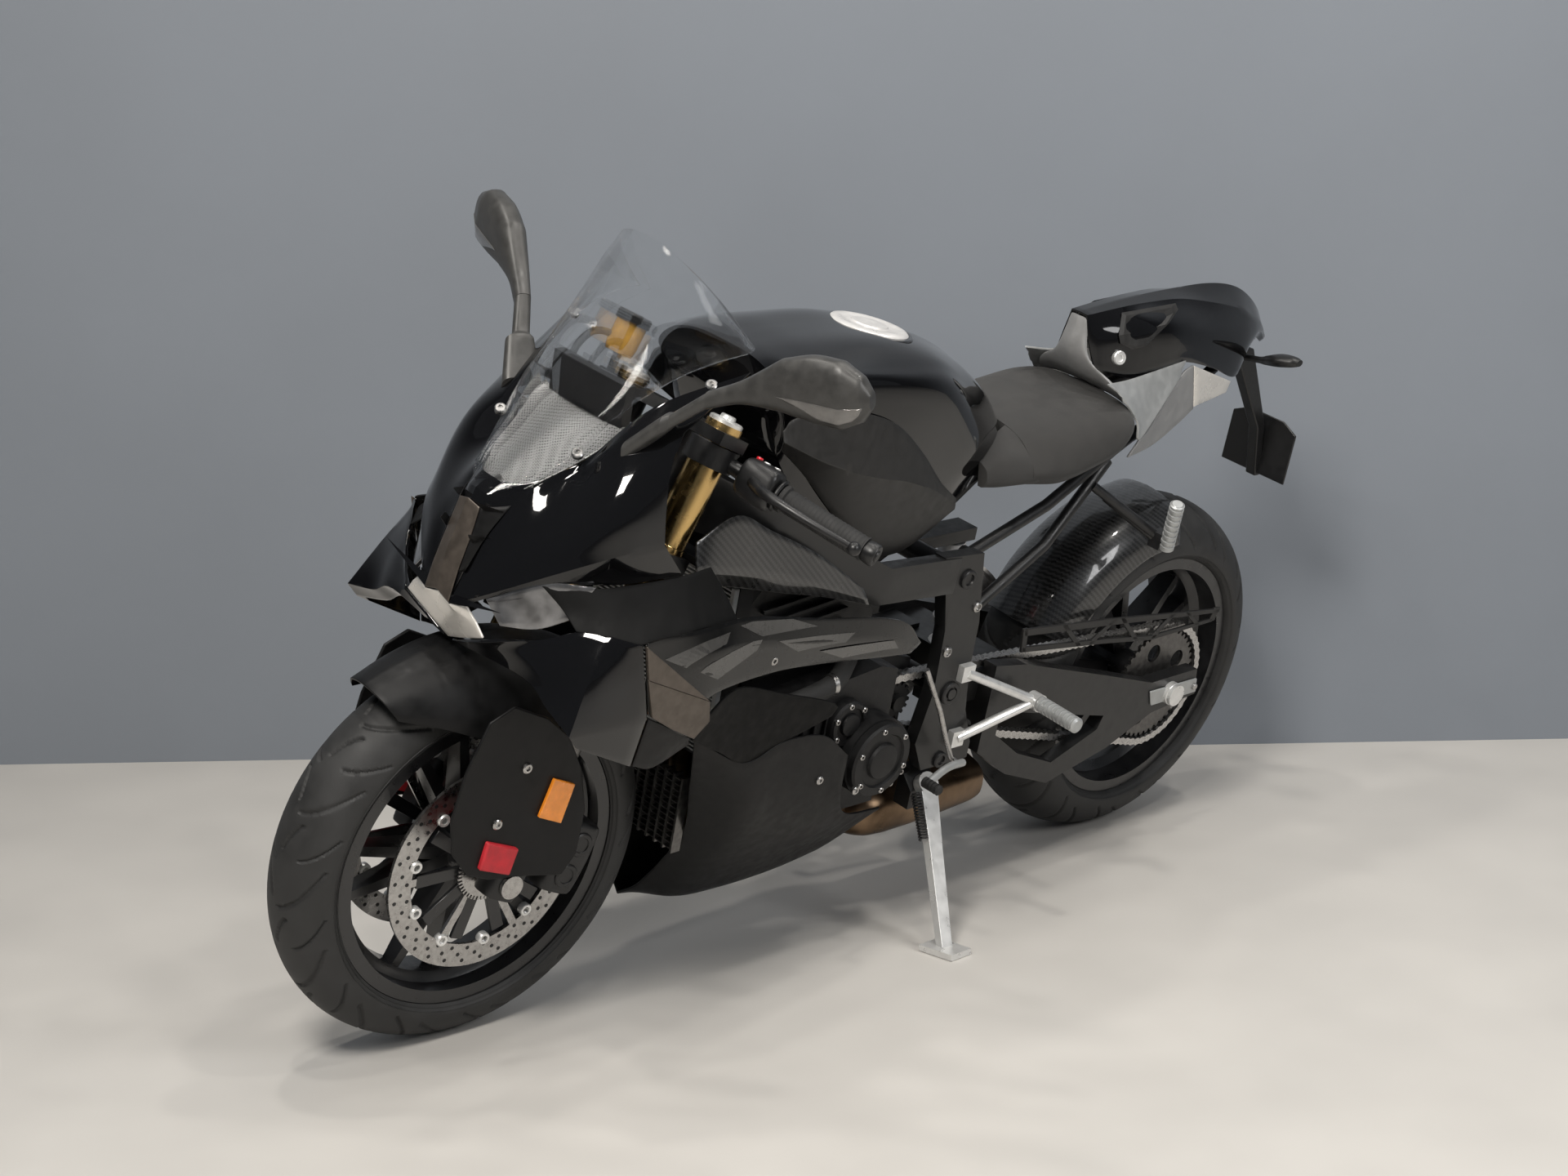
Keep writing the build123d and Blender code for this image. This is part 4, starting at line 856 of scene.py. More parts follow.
fins = []
for corners in ([(1526, 24, 848), (1516, 27, 840), (1494, 42, 838)],
                [(1539, 27, 806), (1531, 30, 797), (1520, 40, 806)]):
    fins += on_both(corners, (6, 4, 8))
plates("intake_fins", fins, satin_black, round_edge=0.8)
slot_rows = [
    [(1521, 23, 846), (1505, 36, 849), (1489, 47, 853)],
    [(1533, 26, 805), (1526, 33, 808), (1518, 40, 811)],
    [(1548, 28, 757), (1545, 30, 758), (1540, 32, 758)],
]
panel("intake_shadow", [[(x + 1.2, y, z + 0.8) for x, y, z in row] for row in slot_rows], satin_black,
      wall=1.0, round_edge=0)

# Panel under the windshield, with its fine mesh
base_rows = [
    [(1503, 0, 858), (1486, 34, 866), (1462, 56, 886)],
    [(1452, 0, 896), (1432, 48, 900), (1404, 76, 920)],
    [(1398, 0, 934), (1380, 60, 936), (1362, 92, 952)],
    [(1352, 0, 958), (1346, 60, 958), (1338, 96, 966)],
]
panel("screen_base", base_rows, mesh_panel, whole=True, wall=2.0)

wing_plate = [(1412, 262, 730), (1399, 262, 678), (1380, 262, 617), (1341, 262, 592), (1294, 261, 566),
              (1270, 262, 589), (1277, 263, 622)]
inlays = on_both([wing_plate[0], wing_plate[1], wing_plate[6]], (0, 6.4, 0)) + on_both(wing_plate[1:],
                                                                                       (0, 5.4, 0))
plates("winglet_inlays", inlays, bronze, round_edge=1.2, slot="dark_grey")

# Screws of the windshield and the nose rim
studs("screen_screws", [(1421.6, 84.5, 935), (1259.8, 148.5, 1038), (1503, 0, 866)], (0.45, 0.35, 0.82), 8.5,
      3.5, both=True)

# Front mudguard and fork guards


def round_axle(columns, angles, centre=(WHEELBASE, FRONT_RADIUS)):
    """Rows round the front axle: columns of (half width, radius) per angle."""
    rows = []
    for angle, row in zip(angles, columns):
        c, s = math.cos(math.radians(angle)), math.sin(math.radians(angle))
        rows.append([(centre[0] + r * c, y, centre[1] + r * s) for y, r in row])
    return rows


fender_columns = [
    [(0, 346), (22, 342), (42, 333), (55, 318), (60, 306)],
    [(0, 341), (32, 334), (60, 316), (79, 288), (86, 266)],
    [(0, 338), (38, 330), (70, 308), (98, 268), (110, 232)],
    [(0, 337), (40, 329), (74, 304), (108, 256), (124, 212)],
    [(0, 336), (40, 328), (74, 302), (110, 254), (128, 214)],
    [(0, 336), (40, 327), (70, 304), (88, 278), (96, 262)],
    [(0, 335), (38, 326), (62, 308), (76, 288), (82, 272)],
]
fender_angles = (56.5, 66, 77, 87, 97, 113, 130)
panel("mudguard", round_axle(fender_columns, fender_angles), satin_black, "steering", whole=True,
      inside=tuple(AXLE), wall=3.5, node="front_fender")
guard_outline = [(1391, 524), (1432, 560), (1492, 588), (1530, 570), (1560, 500), (1575, 430), (1566, 375),
                 (1536, 336), (1500, 322), (1430, 312), (1372, 300), (1350, 330), (1345, 400), (1362, 470)]
reflector = [(1412, 465), (1374, 449), (1390, 390), (1431, 408)]
tag = [(1513, 387), (1458, 365), (1469, 325), (1522, 345)]


def fork_plates(name, outline, y, thick, material, round_edge, **carried):
    """The same side plate on both fork legs."""
    plates(name, on_both([(x, y, z) for x, z in outline], (0, thick, 0)), material, "steering", round_edge,
           **carried)


fork_plates("fork_guards", guard_outline, 131, 5, satin_black, 2.2, node="front_fender")
for side, ending in ((1, ""), (-1, "_right")):
    studs("guard_screws" + ending, [(1459, 136.5 * side, 489), (1498, 136.5 * side, 410)], (0, side, 0), 8,
          3.5, "steering")
fork_plates("fork_reflectors", reflector, 136, 6, amber, 1.5)
fork_plates("transport_pads", tag, 124, 19, red_tag, 3.0)

# Front brakes: holes, buttons, toothed ring and calipers


def about_axle(radius, angle, y, centre=AXLE):
    turn = math.radians(angle)
    return (centre[0] + radius * math.cos(turn), y, centre[2] + radius * math.sin(turn))


def disc_holes(name, centre, offsets, rings, body):
    """Through holes of a disc, dark mouths on both faces."""
    places = [about_axle(radius, 360 * k / count + phase, offset, centre)
              for offset in offsets for radius, count, phase in rings for k in range(count)]
    turned(name, [(-2.75, 3.1), (2.75, 3.1)], places, (0, 1, 0), black_metal, body, 12)


DISC_SIDES = (-67, 67)
disc_holes("front_disc_holes", AXLE, DISC_SIDES, ((131, 30, 0), (141, 30, 6), (151, 30, 2)), "front_wheel")
disc_holes("rear_disc_holes", REAR_AXLE, (-98,), ((86, 20, 0), (94, 20, 9), (102, 20, 0)), "rear_wheel")
buttons = [about_axle(122, 36 * k + 12, y) for y in DISC_SIDES for k in range(10)]
turned("disc_buttons", [(-5.5, 8.5), (-5.5, 5), (5.5, 5), (5.5, 8.5), (4, 9.5), (-4, 9.5)], buttons,
       (0, 1, 0), silver,
       "front_wheel", 20)
carrier = [([about_axle(r, 36 * k + a, y - 3) for r, a in ((38, -14), (116, -5), (116, 5), (38, 14))],
            (0, 6, 0))
           for y in DISC_SIDES for k in range(10)]
plates("disc_carriers", carrier, rim_black, "front_wheel", 0.8)
teeth = [about_axle(radius, 7.5 * (k + share), 74) for k in range(48)
         for radius, share in ((44, 0.0), (44, 0.5), (50, 0.5), (50, 1.0))]
plates("speed_ring", [(teeth, (0, 2.5, 0))], steel, "front_wheel", 0)


def caliper(name, low, high, side):
    """Rounded brake caliper body with two piston caps, between two corners on the steering head."""
    low, high = np.array(low, float), np.array(high, float)
    middle, half = (low + high) / 2, (high - low) / 2
    sections = []
    for share, size in ((-1.0, 0.82), (-0.86, 1.0), (-0.2, 1.06), (0.2, 1.06), (0.86, 1.0), (1.0, 0.82)):
        centre = on_head(middle + np.array([0, 0, share * half[2]]))
        sections.append((centre, HEAD_FORWARD * half[0] * size, HEAD_LEFT * half[1] * size))
    loft(name, sections, black_metal, "steering", 3, power=5.0, slot="caliper_red", node="front_calipers")
    caps = [on_head(middle + np.array([0, side * half[1] * 1.02, up])) for up in (-half[2] * 0.45,
                                                                                  half[2] * 0.45)]
    turned(name + "_pistons", [(-4, 19), (2, 19), (4, 17), (4, 12), (2.5, 11), (2.5, 0.5)], caps,
           (0, side, 0), black_metal, "steering", 32, slot="caliper_red")


for side, label in SIDES:
    caliper("front_caliper_" + label, (FORK_OFFSET - 150, side * 71 - 33, AXLE_HIGH - 6),
            (FORK_OFFSET - 86, side * 71 + 33, AXLE_HIGH + 106), side)

# Fork: gold tubes, black lower legs and polished caps


def in_fork(y, *heights):
    """Points on the line of a fork leg."""
    return [on_head(np.array([FORK_OFFSET, y, height])) for height in heights]


FORK_PAIR = (-FORK_SPREAD, FORK_SPREAD)
FORK_JOINT = 560.0
tube("fork_outer_tubes", [in_fork(y, FORK_JOINT, FORK_TOP) for y in FORK_PAIR], 27, gold, "steering", 40,
     node="fork_legs")
tube("fork_sliders", [in_fork(y, AXLE_HIGH + 66, FORK_JOINT + 2) for y in FORK_PAIR], 22.5, dark_steel,
     "steering", 40, slot="black_metal", node="fork_legs")
for y, label in zip(FORK_PAIR, ("right", "left")):
    sections = []
    for up, size in ((-26, 0.78), (-20, 1.0), (30, 1.04), (62, 0.96), (80, 0.84), (88, 0.80)):
        wide = 28 * size if up < 40 else 27 * size
        sections.append((in_fork(y, AXLE_HIGH + up)[0], HEAD_FORWARD * wide, HEAD_LEFT * 23.5 * size))
    loft("fork_foot_" + label, sections, black_metal, "steering", 4, power=3.4, node="fork_legs")
turned("fork_rings", [(-6, 27.6), (-5, 28.6), (5, 28.6), (6, 27.6)],
       [in_fork(y, 562, 838) for y in FORK_PAIR],
       HEAD_AXIS, gold, "steering", 40)
turned("fork_caps", [(-2, 25), (5, 25), (7, 22), (7, 12), (12, 11), (13, 9), (13, 0.5)],
       [in_fork(y, FORK_TOP) for y in FORK_PAIR], HEAD_AXIS, silver, "steering", 40, slot="bare_aluminium")

# Handlebars, as distances in from the end of the bar

BAR_END = np.array([-92.0, 350.0, 962.0])
BAR_ROOT = 982.0
KEY_PROFILE = [(-3, 5), (1.5, 5), (2.5, 4), (2.5, 0.3)]


def bar(side, label):
    """Bar of one side with its grip, switches and lever."""
    start = np.array([FORK_OFFSET, side * FORK_SPREAD, BAR_ROOT])
    end = BAR_END * np.array([1, side, 1])
    run = (end - start) / np.linalg.norm(end - start)
    ahead = np.array([1.0, 0, 0]) - run * run[0]
    ahead /= np.linalg.norm(ahead)
    up = np.array([0, 0, 1.0])
    axis, origin = on_head(end) - on_head(start), on_head(end)

    def back(distance, lead=0.0, lift=0.0):
        return on_head(end - run * distance + ahead * lead + up * lift)

    def ring(name, profile, material=black_metal, at=origin, along=axis):
        turned(name + "_" + label, profile, at, along, material, "steering", 40, node="handlebars")

    grip_profile = [(-152, 17.5), (-150, 20), (-144, 20), (-142, 16.5)]
    for k in range(18):
        grip_profile += [(-138 + 6.6 * k, 16.8), (-136 + 6.6 * k, 17.4), (-133.5 + 6.6 * k, 17.4),
                         (-132.5 + 6.6 * k, 16.8)]
    ring("grip", grip_profile + [(-15, 16.8), (-14, 18), (-12, 18)], grip_rubber)
    ring("bar_end", [(-13, 12), (-11, 15), (-4, 16.5), (4, 16.5), (7, 15), (7, 9), (9, 8), (9, 0.5)])
    ring("adjuster_ring", [(-158, 22), (-156, 24), (-154, 24), (-152, 22)])
    tube("bar_tube_" + label, [[on_head(start + run * 18), back(20)]], 11, black_metal, "steering",
         node="handlebars")
    housing = [(back(distance), (back(distance, 1) - back(distance)) * 25 * size, HEAD_AXIS * 27 * size)
               for distance, size in ((218, 0.7), (212, 1.0), (190, 1.12), (166, 1.08), (160, 0.8))]
    loft("switch_housing_" + label, housing, black_metal, "steering", 4, power=3.2, node="handlebars")
    ring("bar_clamp", [(-17, 36), (-16, 37), (16, 37), (17, 36)], at=on_head(start), along=HEAD_AXIS)
    keys = [back(206, -6, 29), back(190, 4, 29), back(176, -4, 29)]
    turned("switch_keys_" + label, KEY_PROFILE, keys[:1], HEAD_AXIS, red if side > 0 else silver, "steering",
           20, slot="caliper_red")
    turned("switch_buttons_" + label, KEY_PROFILE, keys[1:], HEAD_AXIS, silver, "steering", 20)
    lever = catmull([back(190, 24), back(150, 70), back(80, 76), back(10, 62)], 8)
    size = np.interp(np.linspace(0, 1, len(lever)), [0, 0.25, 0.7, 1], [9, 8.5, 6, 5])
    finish_object("lever_" + label, sweep(lever, size), ring_faces(len(lever), 16), black_metal, "steering",
                  40, node="handlebars")
    ball = [(10 * math.cos(a), max(0.05, 10 * math.sin(a))) for a in np.linspace(math.pi, 0, 13)]
    turned("lever_ball_" + label, ball, lever[-1], HEAD_AXIS, black_metal, "steering", 24)


for side, label in SIDES:
    bar(side, label)

# Brake reservoir: amber cup with a black cap, its arm, hose and master cylinder
CUP = np.array([FORK_OFFSET + 41, -FORK_SPREAD - 4, FORK_TOP + 42])
cup_at = on_head(CUP)
turned("reservoir_cup", [(-25, 18), (-24, 21), (-12, 23.5), (24, 23.5), (24, 10)], cup_at, HEAD_AXIS,
       amber_fluid, "steering", 48, node="brake_reservoir")
lid_profile = [(22, 25.5)]
for k in range(3):
    lid_profile += [(24 + 4 * k, 26.5), (26 + 4 * k, 26.5), (27 + 4 * k, 25.6)]
lid_profile += [(37, 24.5), (37, 15), (35.5, 14), (35.5, 0.5)]
turned("reservoir_lid", lid_profile, cup_at, HEAD_AXIS, black_metal, "steering", 48, node="brake_reservoir")
tube("reservoir_arm", [[cup_at - HEAD_AXIS * 20, on_head(CUP + np.array([-6, 0, BAR_ROOT - CUP[2]]))]], 6.5,
     black_metal, "steering", node="brake_reservoir")
hose_steps = ((0, 0, -12), (22, -10, -4), (40, -22, -12), (50, -28, -38), (44, -30, -64), (14, -20, -84))
tube("reservoir_hose", [[on_head(CUP + np.array(step)) for step in hose_steps]], 5.5, grip_rubber, "steering",
     node="brake_reservoir")
master = []
for out, size in ((-8, 0.6), (0, 1.0), (26, 1.0), (34, 0.7)):
    centre = on_head(np.array([FORK_OFFSET + 34, -FORK_SPREAD - 34 - out, BAR_ROOT + 6]))
    master.append((centre, HEAD_FORWARD * 15 * size, HEAD_AXIS * 14 * size))
loft("master_cylinder", master, black_metal, "steering", 4, power=3.0, node="brake_reservoir")

# Side panels: carbon infills, lighter shards and screws


def along_surface(rows, u, v, lift):
    """Point on a grid of rows at u along them and v down them, lifted outwards by some millimetres."""
    rows = np.asarray(rows, float)
    height, width = rows.shape[:2]
    a, b = v * (height - 1), u * (width - 1)
    i, j = min(int(a), height - 2), min(int(b), width - 2)
    p, q = a - i, b - j
    top = rows[i, j] * (1 - q) + rows[i, j + 1] * q
    low = rows[i + 1, j] * (1 - q) + rows[i + 1, j + 1] * q
    return top * (1 - p) + low * p + np.array([0, lift, 0])


def shards(name, rows, shapes, material, lift=1.4, wall=1.0, steps=10):
    """Thin strips on both sides that follow a panel; each shape is (u, v) of its four corners."""
    vertices, faces = [], []
    for side in (1, -1):
        for corners in shapes:
            start = len(vertices)
            for layer in (lift, lift - wall):
                for k in range(steps + 1):
                    t = k / steps
                    for a, b in ((0, 1), (3, 2)):
                        u = corners[a][0] * (1 - t) + corners[b][0] * t
                        v = corners[a][1] * (1 - t) + corners[b][1] * t
                        vertices.append(along_surface(rows, u, v, layer) * np.array([1, side, 1]))
            count = 2 * (steps + 1)
            for k in range(steps):
                i = start + 2 * k
                faces.append((i, i + 1, i + 3, i + 2))
                faces.append((i + count, i + count + 2, i + count + 3, i + count + 1))
                faces.append((i, i + 2, i + 2 + count, i + count))
                faces.append((i + 1, i + 1 + count, i + 3 + count, i + 3))
            end = start + 2 * steps
            faces.append((start, start + count, start + 1 + count, start + 1))
            faces.append((end, end + 1, end + 1 + count, end + count))
    finish_object(name, vertices, faces, material, smooth=False)


infill_rows = [
    [(1240, 152, 806), (1165, 150, 834), (1092, 150, 800), (985, 152, 746), (880, 156, 676)],
    [(1246, 168, 772), (1172, 166, 752), (1080, 163, 730), (985, 162, 700), (868, 159, 656)],
    [(1228, 169, 746), (1155, 162, 726), (1062, 162, 702), (972, 161, 680), (862, 158, 646)],
]
panel("carbon_infills", infill_rows, carbon, row_breaks=(1,), wall=3.5, node="side_fairings")
shard_shapes = [
    [(0.20, 0.30), (0.42, 0.16), (0.40, 0.34), (0.26, 0.52)],
    [(0.30, 0.62), (0.52, 0.40), (0.50, 0.58), (0.36, 0.80)],
    [(0.46, 0.10), (0.60, 0.02), (0.66, 0.16), (0.52, 0.34)],
    [(0.56, 0.44), (0.74, 0.30), (0.72, 0.52), (0.60, 0.66)],
    [(0.66, 0.70), (0.84, 0.52), (0.90, 0.70), (0.72, 0.90)],
]
shards("side_shards", side_rows, shard_shapes, shard_grey)
screw_at = [(1112, 206, 452), (951, 207, 392), (860, 203, 351), (1130, 234, 640)]
for side, label in SIDES:
    studs("side_screws_" + label, [(x, y * side, z) for x, y, z in screw_at], (0, side, 0), 7.0, 3.0)

# Radiator core, oil cooler, headers and engine covers


def slats(x, half_width, low, step, thick, count, depth):
    """Flat slats across the front of a core."""
    outlines = []
    for k in range(count):
        z = low + step * k
        outlines.append(([(x, -half_width, z), (x, half_width, z), (x, half_width, z + thick),
                          (x, -half_width, z + thick)], (depth, 0, 0)))
    return outlines


def bars_up(x, places, width, low, high, depth):
    """Upright bars across the front of a core, each from its right-hand edge."""
    return [([(x, y, low), (x, y + width, low), (x, y + width, high), (x, y, high)],
             (depth, 0, 0)) for y in places]


core = slats(1134, 140, 440, 6.2, 2.6, 44, 6) + bars_up(1133, (-147, -72, -3, 66, 140), 7, 436, 714, 9)
plates("radiator_fins", core, silver_panel, round_edge=0, slot="bare_aluminium")
cooler = slats(1132, 110, 272, 9.6, 2, 13, 14) + bars_up(1130, range(-114, 115, 19), 4, 268, 394, 18)
plates("oil_cooler", cooler, dark_steel, round_edge=0, slot="bare_aluminium")

# Exhaust: round header pipes, collector and silencer
collector = [((x, 0, z), (0, wide, 0), (0, 0, high)) for x, z, wide, high in
             ((706, 194, 60, 34), (696, 194, 86, 40), (640, 198, 106, 50), (420, 196, 96, 44),
              (402, 196, 80, 34))]
loft("exhaust_collector", collector, header, steps=3, power=3.0, node="exhaust")
header_line = [(1060, 1, 545), (1077, 1, 496), (1076, 1, 420), (1066, 1, 320), (1042, 0.94, 245),
               (985, 0.78, 200),
               (880, 0.62, 190), (702, 0.5, 196)]
tube("exhaust_headers", [[(x, y * share, z) for x, share, z in header_line] for y in (-90, -30, 30, 90)], 19,
     header, sides=24, steps=5, node="exhaust")
tube("silencer_pipe", [[(470, -60, 205), (436, -130, 206), (400, -184, 224), (364, -203, 248)]], 26, header,
     sides=24, node="exhaust")
SILENCER_FROM, SILENCER_TO = np.array([370.0, -202, 245]), np.array([120.0, -226, 400])
silencer_long = float(np.linalg.norm(SILENCER_TO - SILENCER_FROM))
silencer = [(0, 26), (6, 36), (24, 49), (30, 50)] + [(silencer_long - short, radius) for short, radius in
                                                    ((22, 50), (18, 48), (16, 48), (12, 50), (4, 48), (0, 40),
                                                     (0, 30), (30, 28), (30, 0.5))]
turned("silencer", silencer, SILENCER_FROM, SILENCER_TO - SILENCER_FROM, dark_steel, node="exhaust")

cover_bolts = []
for x, z, low, high, size in ((812, 392, 188, 209, 62), (868, 452, 154, 178, 38), (735, 338, 150, 166, 30)):
    profile = [(low, size), (high - 8, size), (high - 4, size - 3), (high - 3, size * 0.74),
               (high - 7, size * 0.7),
               (high - 7, size * 0.5), (high - 1, size * 0.46), (high, size * 0.4), (high, 0.5)]
    for side, label in SIDES:
        turned(f"engine_cover_{x}_{label}", profile, (x, 0, z), (0, side, 0), engine_black)
        cover_bolts += [about_axle(size * 0.86, 60 * k + 20, side * (high - 5), (x, 0, z)) for k in range(6)]
turned("engine_cover_bolts", [(-3, 5), (3, 5), (4, 4), (4, 2.4), (1, 2.2), (1, 0.2)], cover_bolts, (0, 1, 0),
       steel, segments=16)
case_ribs = []
for x in range(905, 1002, 24):
    case_ribs += on_both([(x, 155, 300), (x + 5, 155, 300), (x + 5, 155, 470), (x, 155, 470)], (0, 7, 0))
for z in range(552, 663, 22):
    case_ribs += on_both([(858, 106, z), (1040, 106, z - 20), (1040, 106, z - 14), (858, 106, z + 6)],
                         (0, 9, 0))
plates("engine_ribs", case_ribs, engine_black)
tube("coolant_pipes", [[(1104, 120, 520), (1060, 150, 500), (980, 158, 508), (900, 152, 520),
                        (850, 128, 540)],
                       [(1104, -120, 470), (1060, -150, 470), (960, -160, 500), (900, -140, 530)]],
     15, grip_rubber, sides=24)
turned("pipe_clamps", [(-4, 15.6), (-4, 16.8), (4, 16.8), (4, 15.6)],
       [(1068, 146, 503), (1058, 151, 500), (905, 153, 519)], (1, -0.1, -0.1), steel, segments=32)

# Footrests: ribbed pegs and shift linkage


def ribbed(length, radius, count=9, groove=1.8):
    """Profile of a peg with rounded ends and grooves round it."""
    profile = [(0, radius * 0.6), (1.5, radius)]
    for k in range(count):
        a = 4 + (length - 8) * k / count
        step = (length - 8) / count
        profile += [(a, radius), (a + step * 0.5, radius), (a + step * 0.55, radius - groove),
                    (a + step * 0.95, radius - groove)]
    return profile + [(length - 3, radius), (length, radius * 0.7), (length, 0.5)]


for side, label in SIDES:
    turned("rider_peg_" + label, ribbed(90, 13.5), (436, 198 * side, 410), (10, 88 * side, 4), silver_panel)
    turned("pillion_peg_" + label, ribbed(98, 12.5, 8), (190, 196 * side, 650), (26, 18 * side, 92),
           silver_panel)
tube("shift_linkage", [[(704, 165, 510), (658, 172, 431)], [(658, 172, 431), (611, 176, 340),
                                                            (590, 186, 330)]],
     4.5, steel, steps=2)
for name, side, path in (("shift", 1, [(590, 186, 330), (640, 196, 336), (700, 212, 330)]),
                         ("brake", -1, [(560, -184, 350), (620, -196, 336), (700, -210, 330)])):
    tube(name + "_pedal", [path], 6.5, silver_panel)
    turned(name + "_toe", ribbed(36, 9, 4), (700, 204 * side, 330), (0, side, 0), grip_rubber)

# Bolts of the frame: the large ones are black
frame_bolts = ((611, 441, 20), (628, 645, 16), (600, 318, 14), (590, 590, 9), (640, 520, 9))
for side, label in SIDES:
    for number, (x, z, size) in enumerate(frame_bolts):
        bolt = [(-2, size), (3, size), (4.5, size - 2), (4.5, size * 0.62), (1.5, size * 0.56), (1.5, 0.3)]
        turned(f"frame_bolt_{number}_{label}", bolt, (x, (146 if size > 12 else 145) * side, z), (0, side, 0),
               steel if size < 14 else black_metal, slot="steel")

# Mirror lamps: clear strips let into the lower front of each housing
housing = spans(np.array([ring_of(*section, MIRROR_POWER) for section in across(mirror_sections)]), 6,
                MIRROR_BREAKS)
lens_high, lens_low = housing[12:33, 31], housing[12:33, 28]
opening = np.minimum(1, np.linspace(0, 2.6, len(lens_high)))[:, None]
closing = np.minimum(1, np.linspace(4.5, 0.2, len(lens_high)))[:, None]
lens_drop = (lens_low - lens_high) * opening * closing
panel("mirror_lamps", [lens_high + lens_drop * share + np.array([1.2, 0, 0]) for share in (0, 0.5, 1)],
      clear_lens, wall=2.5, steps=1, inside=(1100, 350, 1100), round_edge=0.6)

# Springs of the stand and the shock absorber


def coil(name, start, end, radius, wire, turns, material, body="chassis", sides=10, per_turn=20, **carried):
    """Helical spring between two points."""
    start, end = np.asarray(start, float), np.asarray(end, float)
    axis = (end - start) / np.linalg.norm(end - start)
    u = np.cross(axis, np.array([1.0, 0, 0]) if abs(axis[0]) < 0.9 else np.array([0, 1.0, 0]))
    u /= np.linalg.norm(u)
    v = np.cross(axis, u)
    line = []
    for k in range(int(turns * per_turn) + 1):
        turn = 2 * math.pi * k / per_turn
        line.append(start + (end - start) * k / (turns * per_turn)
                    + radius * (u * math.cos(turn) + v * math.sin(turn)))
    finish_object(name, sweep(line, wire, sides), ring_faces(len(line), sides), material, body, 60, **carried)


STAND_PIVOT, STAND_FOOT = np.array([625.0, 150, 280]), np.array([708.0, 326, 84])
stand_run = (STAND_FOOT - STAND_PIVOT) / np.linalg.norm(STAND_FOOT - STAND_PIVOT)
beside = np.array([24.0, -6, 8])
coil("stand_spring", STAND_PIVOT + stand_run * 20 + beside, STAND_PIVOT + stand_run * 96 + beside * 0.75,
     7.0, 1.6, 16, black_metal, "side_stand", 8, 14)
SHOCK_LOW = np.array([470.0, 0, 440])
shock_run = np.array([30.0, 0, 196])
turned("shock_body", [(4, 13), (40, 13), (42, 24), (52, 24), (54, 18), (150, 18), (152, 27), (176, 27),
                      (178, 20), (192, 18)], SHOCK_LOW, shock_run, spring_white, node="rear_shock")
coil("shock_spring", SHOCK_LOW + shock_run * 0.26, SHOCK_LOW + shock_run * 0.78, 24.0, 4.6, 6.5, spring_white,
     slot="silver_paint", node="rear_shock")
turned("shock_collar", [(144, 19), (144, 27), (152, 28), (160, 27), (160, 19)], SHOCK_LOW, shock_run, red,
       node="rear_shock")

# Chain guard with its open lattice, hugger
guard_top = [(430, 512), (200, 490), (-125, 452), (-128, 444), (190, 476), (424, 498)]
guard_low = [(424, 478), (200, 452), (60, 433), (-112, 436), (-112, 429), (62, 424), (204, 443), (422, 468)]
guard_struts = [[(430, 512), (418, 512), (412, 468), (424, 468)], [(330, 502), (316, 502), (262, 452),
                                                                   (276, 452)],
                [(188, 488), (174, 486), (232, 448), (246, 449)], [(170, 486), (156, 485), (98, 430),
                                                                   (112, 431)],
                [(20, 468), (6, 467), (54, 426), (68, 426)], [(-110, 456), (-128, 454), (-118, 430),
                                                              (-100, 430)],
                [(-20, 464), (-34, 462), (-76, 430), (-62, 430)]]
plates("chain_guard_lattice", [([(x, 121.5, z) for x, z in shape], (0, 5, 0)) for shape in
                               [guard_top, guard_low] + guard_struts], satin_grey, node="chain_guard")
hugger_columns = [(0, 342), (30, 339), (56, 331), (78, 315), (90, 296), (97, 266)]
hugger_angles = (24, 40, 56, 72, 89)
panel("rear_mudguard", round_axle([hugger_columns] * len(hugger_angles), hugger_angles, (0, REAR_RADIUS)),
      carbon, whole=True, inside=tuple(REAR_AXLE), wall=3.5, node="rear_hugger")

# Swingarm ends: adjuster blocks and axle nuts
plates("axle_adjusters", on_both([(62, 148, 334), (-72, 148, 334), (-78, 148, 306), (50, 148, 304)],
                                 (0, 4, 0)),
       silver_panel, round_edge=1.5, slot="bare_aluminium")
for name, side in (("axle_nuts", 1), ("axle_nut_right", -1)):
    turned(name, [(-10, 21), (6, 21), (9, 18), (9, 12), (4, 11), (4, 0.5)], (0, 152 * side, REAR_RADIUS),
           (0, side, 0), silver, segments=48, slot="bare_aluminium")
turned("adjuster_bolts", [(-6, 6), (4, 6), (5, 5), (5, 0.3)], [(-66, 152, 320), (-66, -152, 320)], (0, 1, 0),
       steel, segments=24)

# Tail: insert, lock, lamp, plate and turn lamps
insert = [(237, 27, 1012), (103, 32, 1019), (104, 41, 1011), (143, 57, 996), (205, 65, 963), (231, 60, 959),
          (254, 51, 968), (257, 46, 981)]
insert_middle = np.array([206, 53, 990])
vertices, faces = [], []
for side in (1, -1):
    start = len(vertices)
    outer = [np.array([x, (y + 3.5) * side, z]) for x, y, z in insert]
    middle = insert_middle * np.array([1, side, 1])
    bevel = [middle + (p - middle) * 0.84 + np.array([0, 2.4 * side, 0]) for p in outer]
    vertices += outer + bevel + [middle + np.array([14, 3.0 * side, -4])]
    count = len(outer)
    for k in range(count):
        n = (k + 1) % count
        faces.append((start + k, start + n, start + count + n, start + count + k))
        faces.append((start + count + k, start + count + n, start + 2 * count))
finish_object("tail_inserts", vertices, faces, satin_grey, sharp=8)
turned("seat_lock", [(-8, 12), (0, 12), (2, 10.5), (2, 6), (0, 5), (0, 0.4)], (254, 60, 945),
       (0.3, 0.92, 0.2), silver)
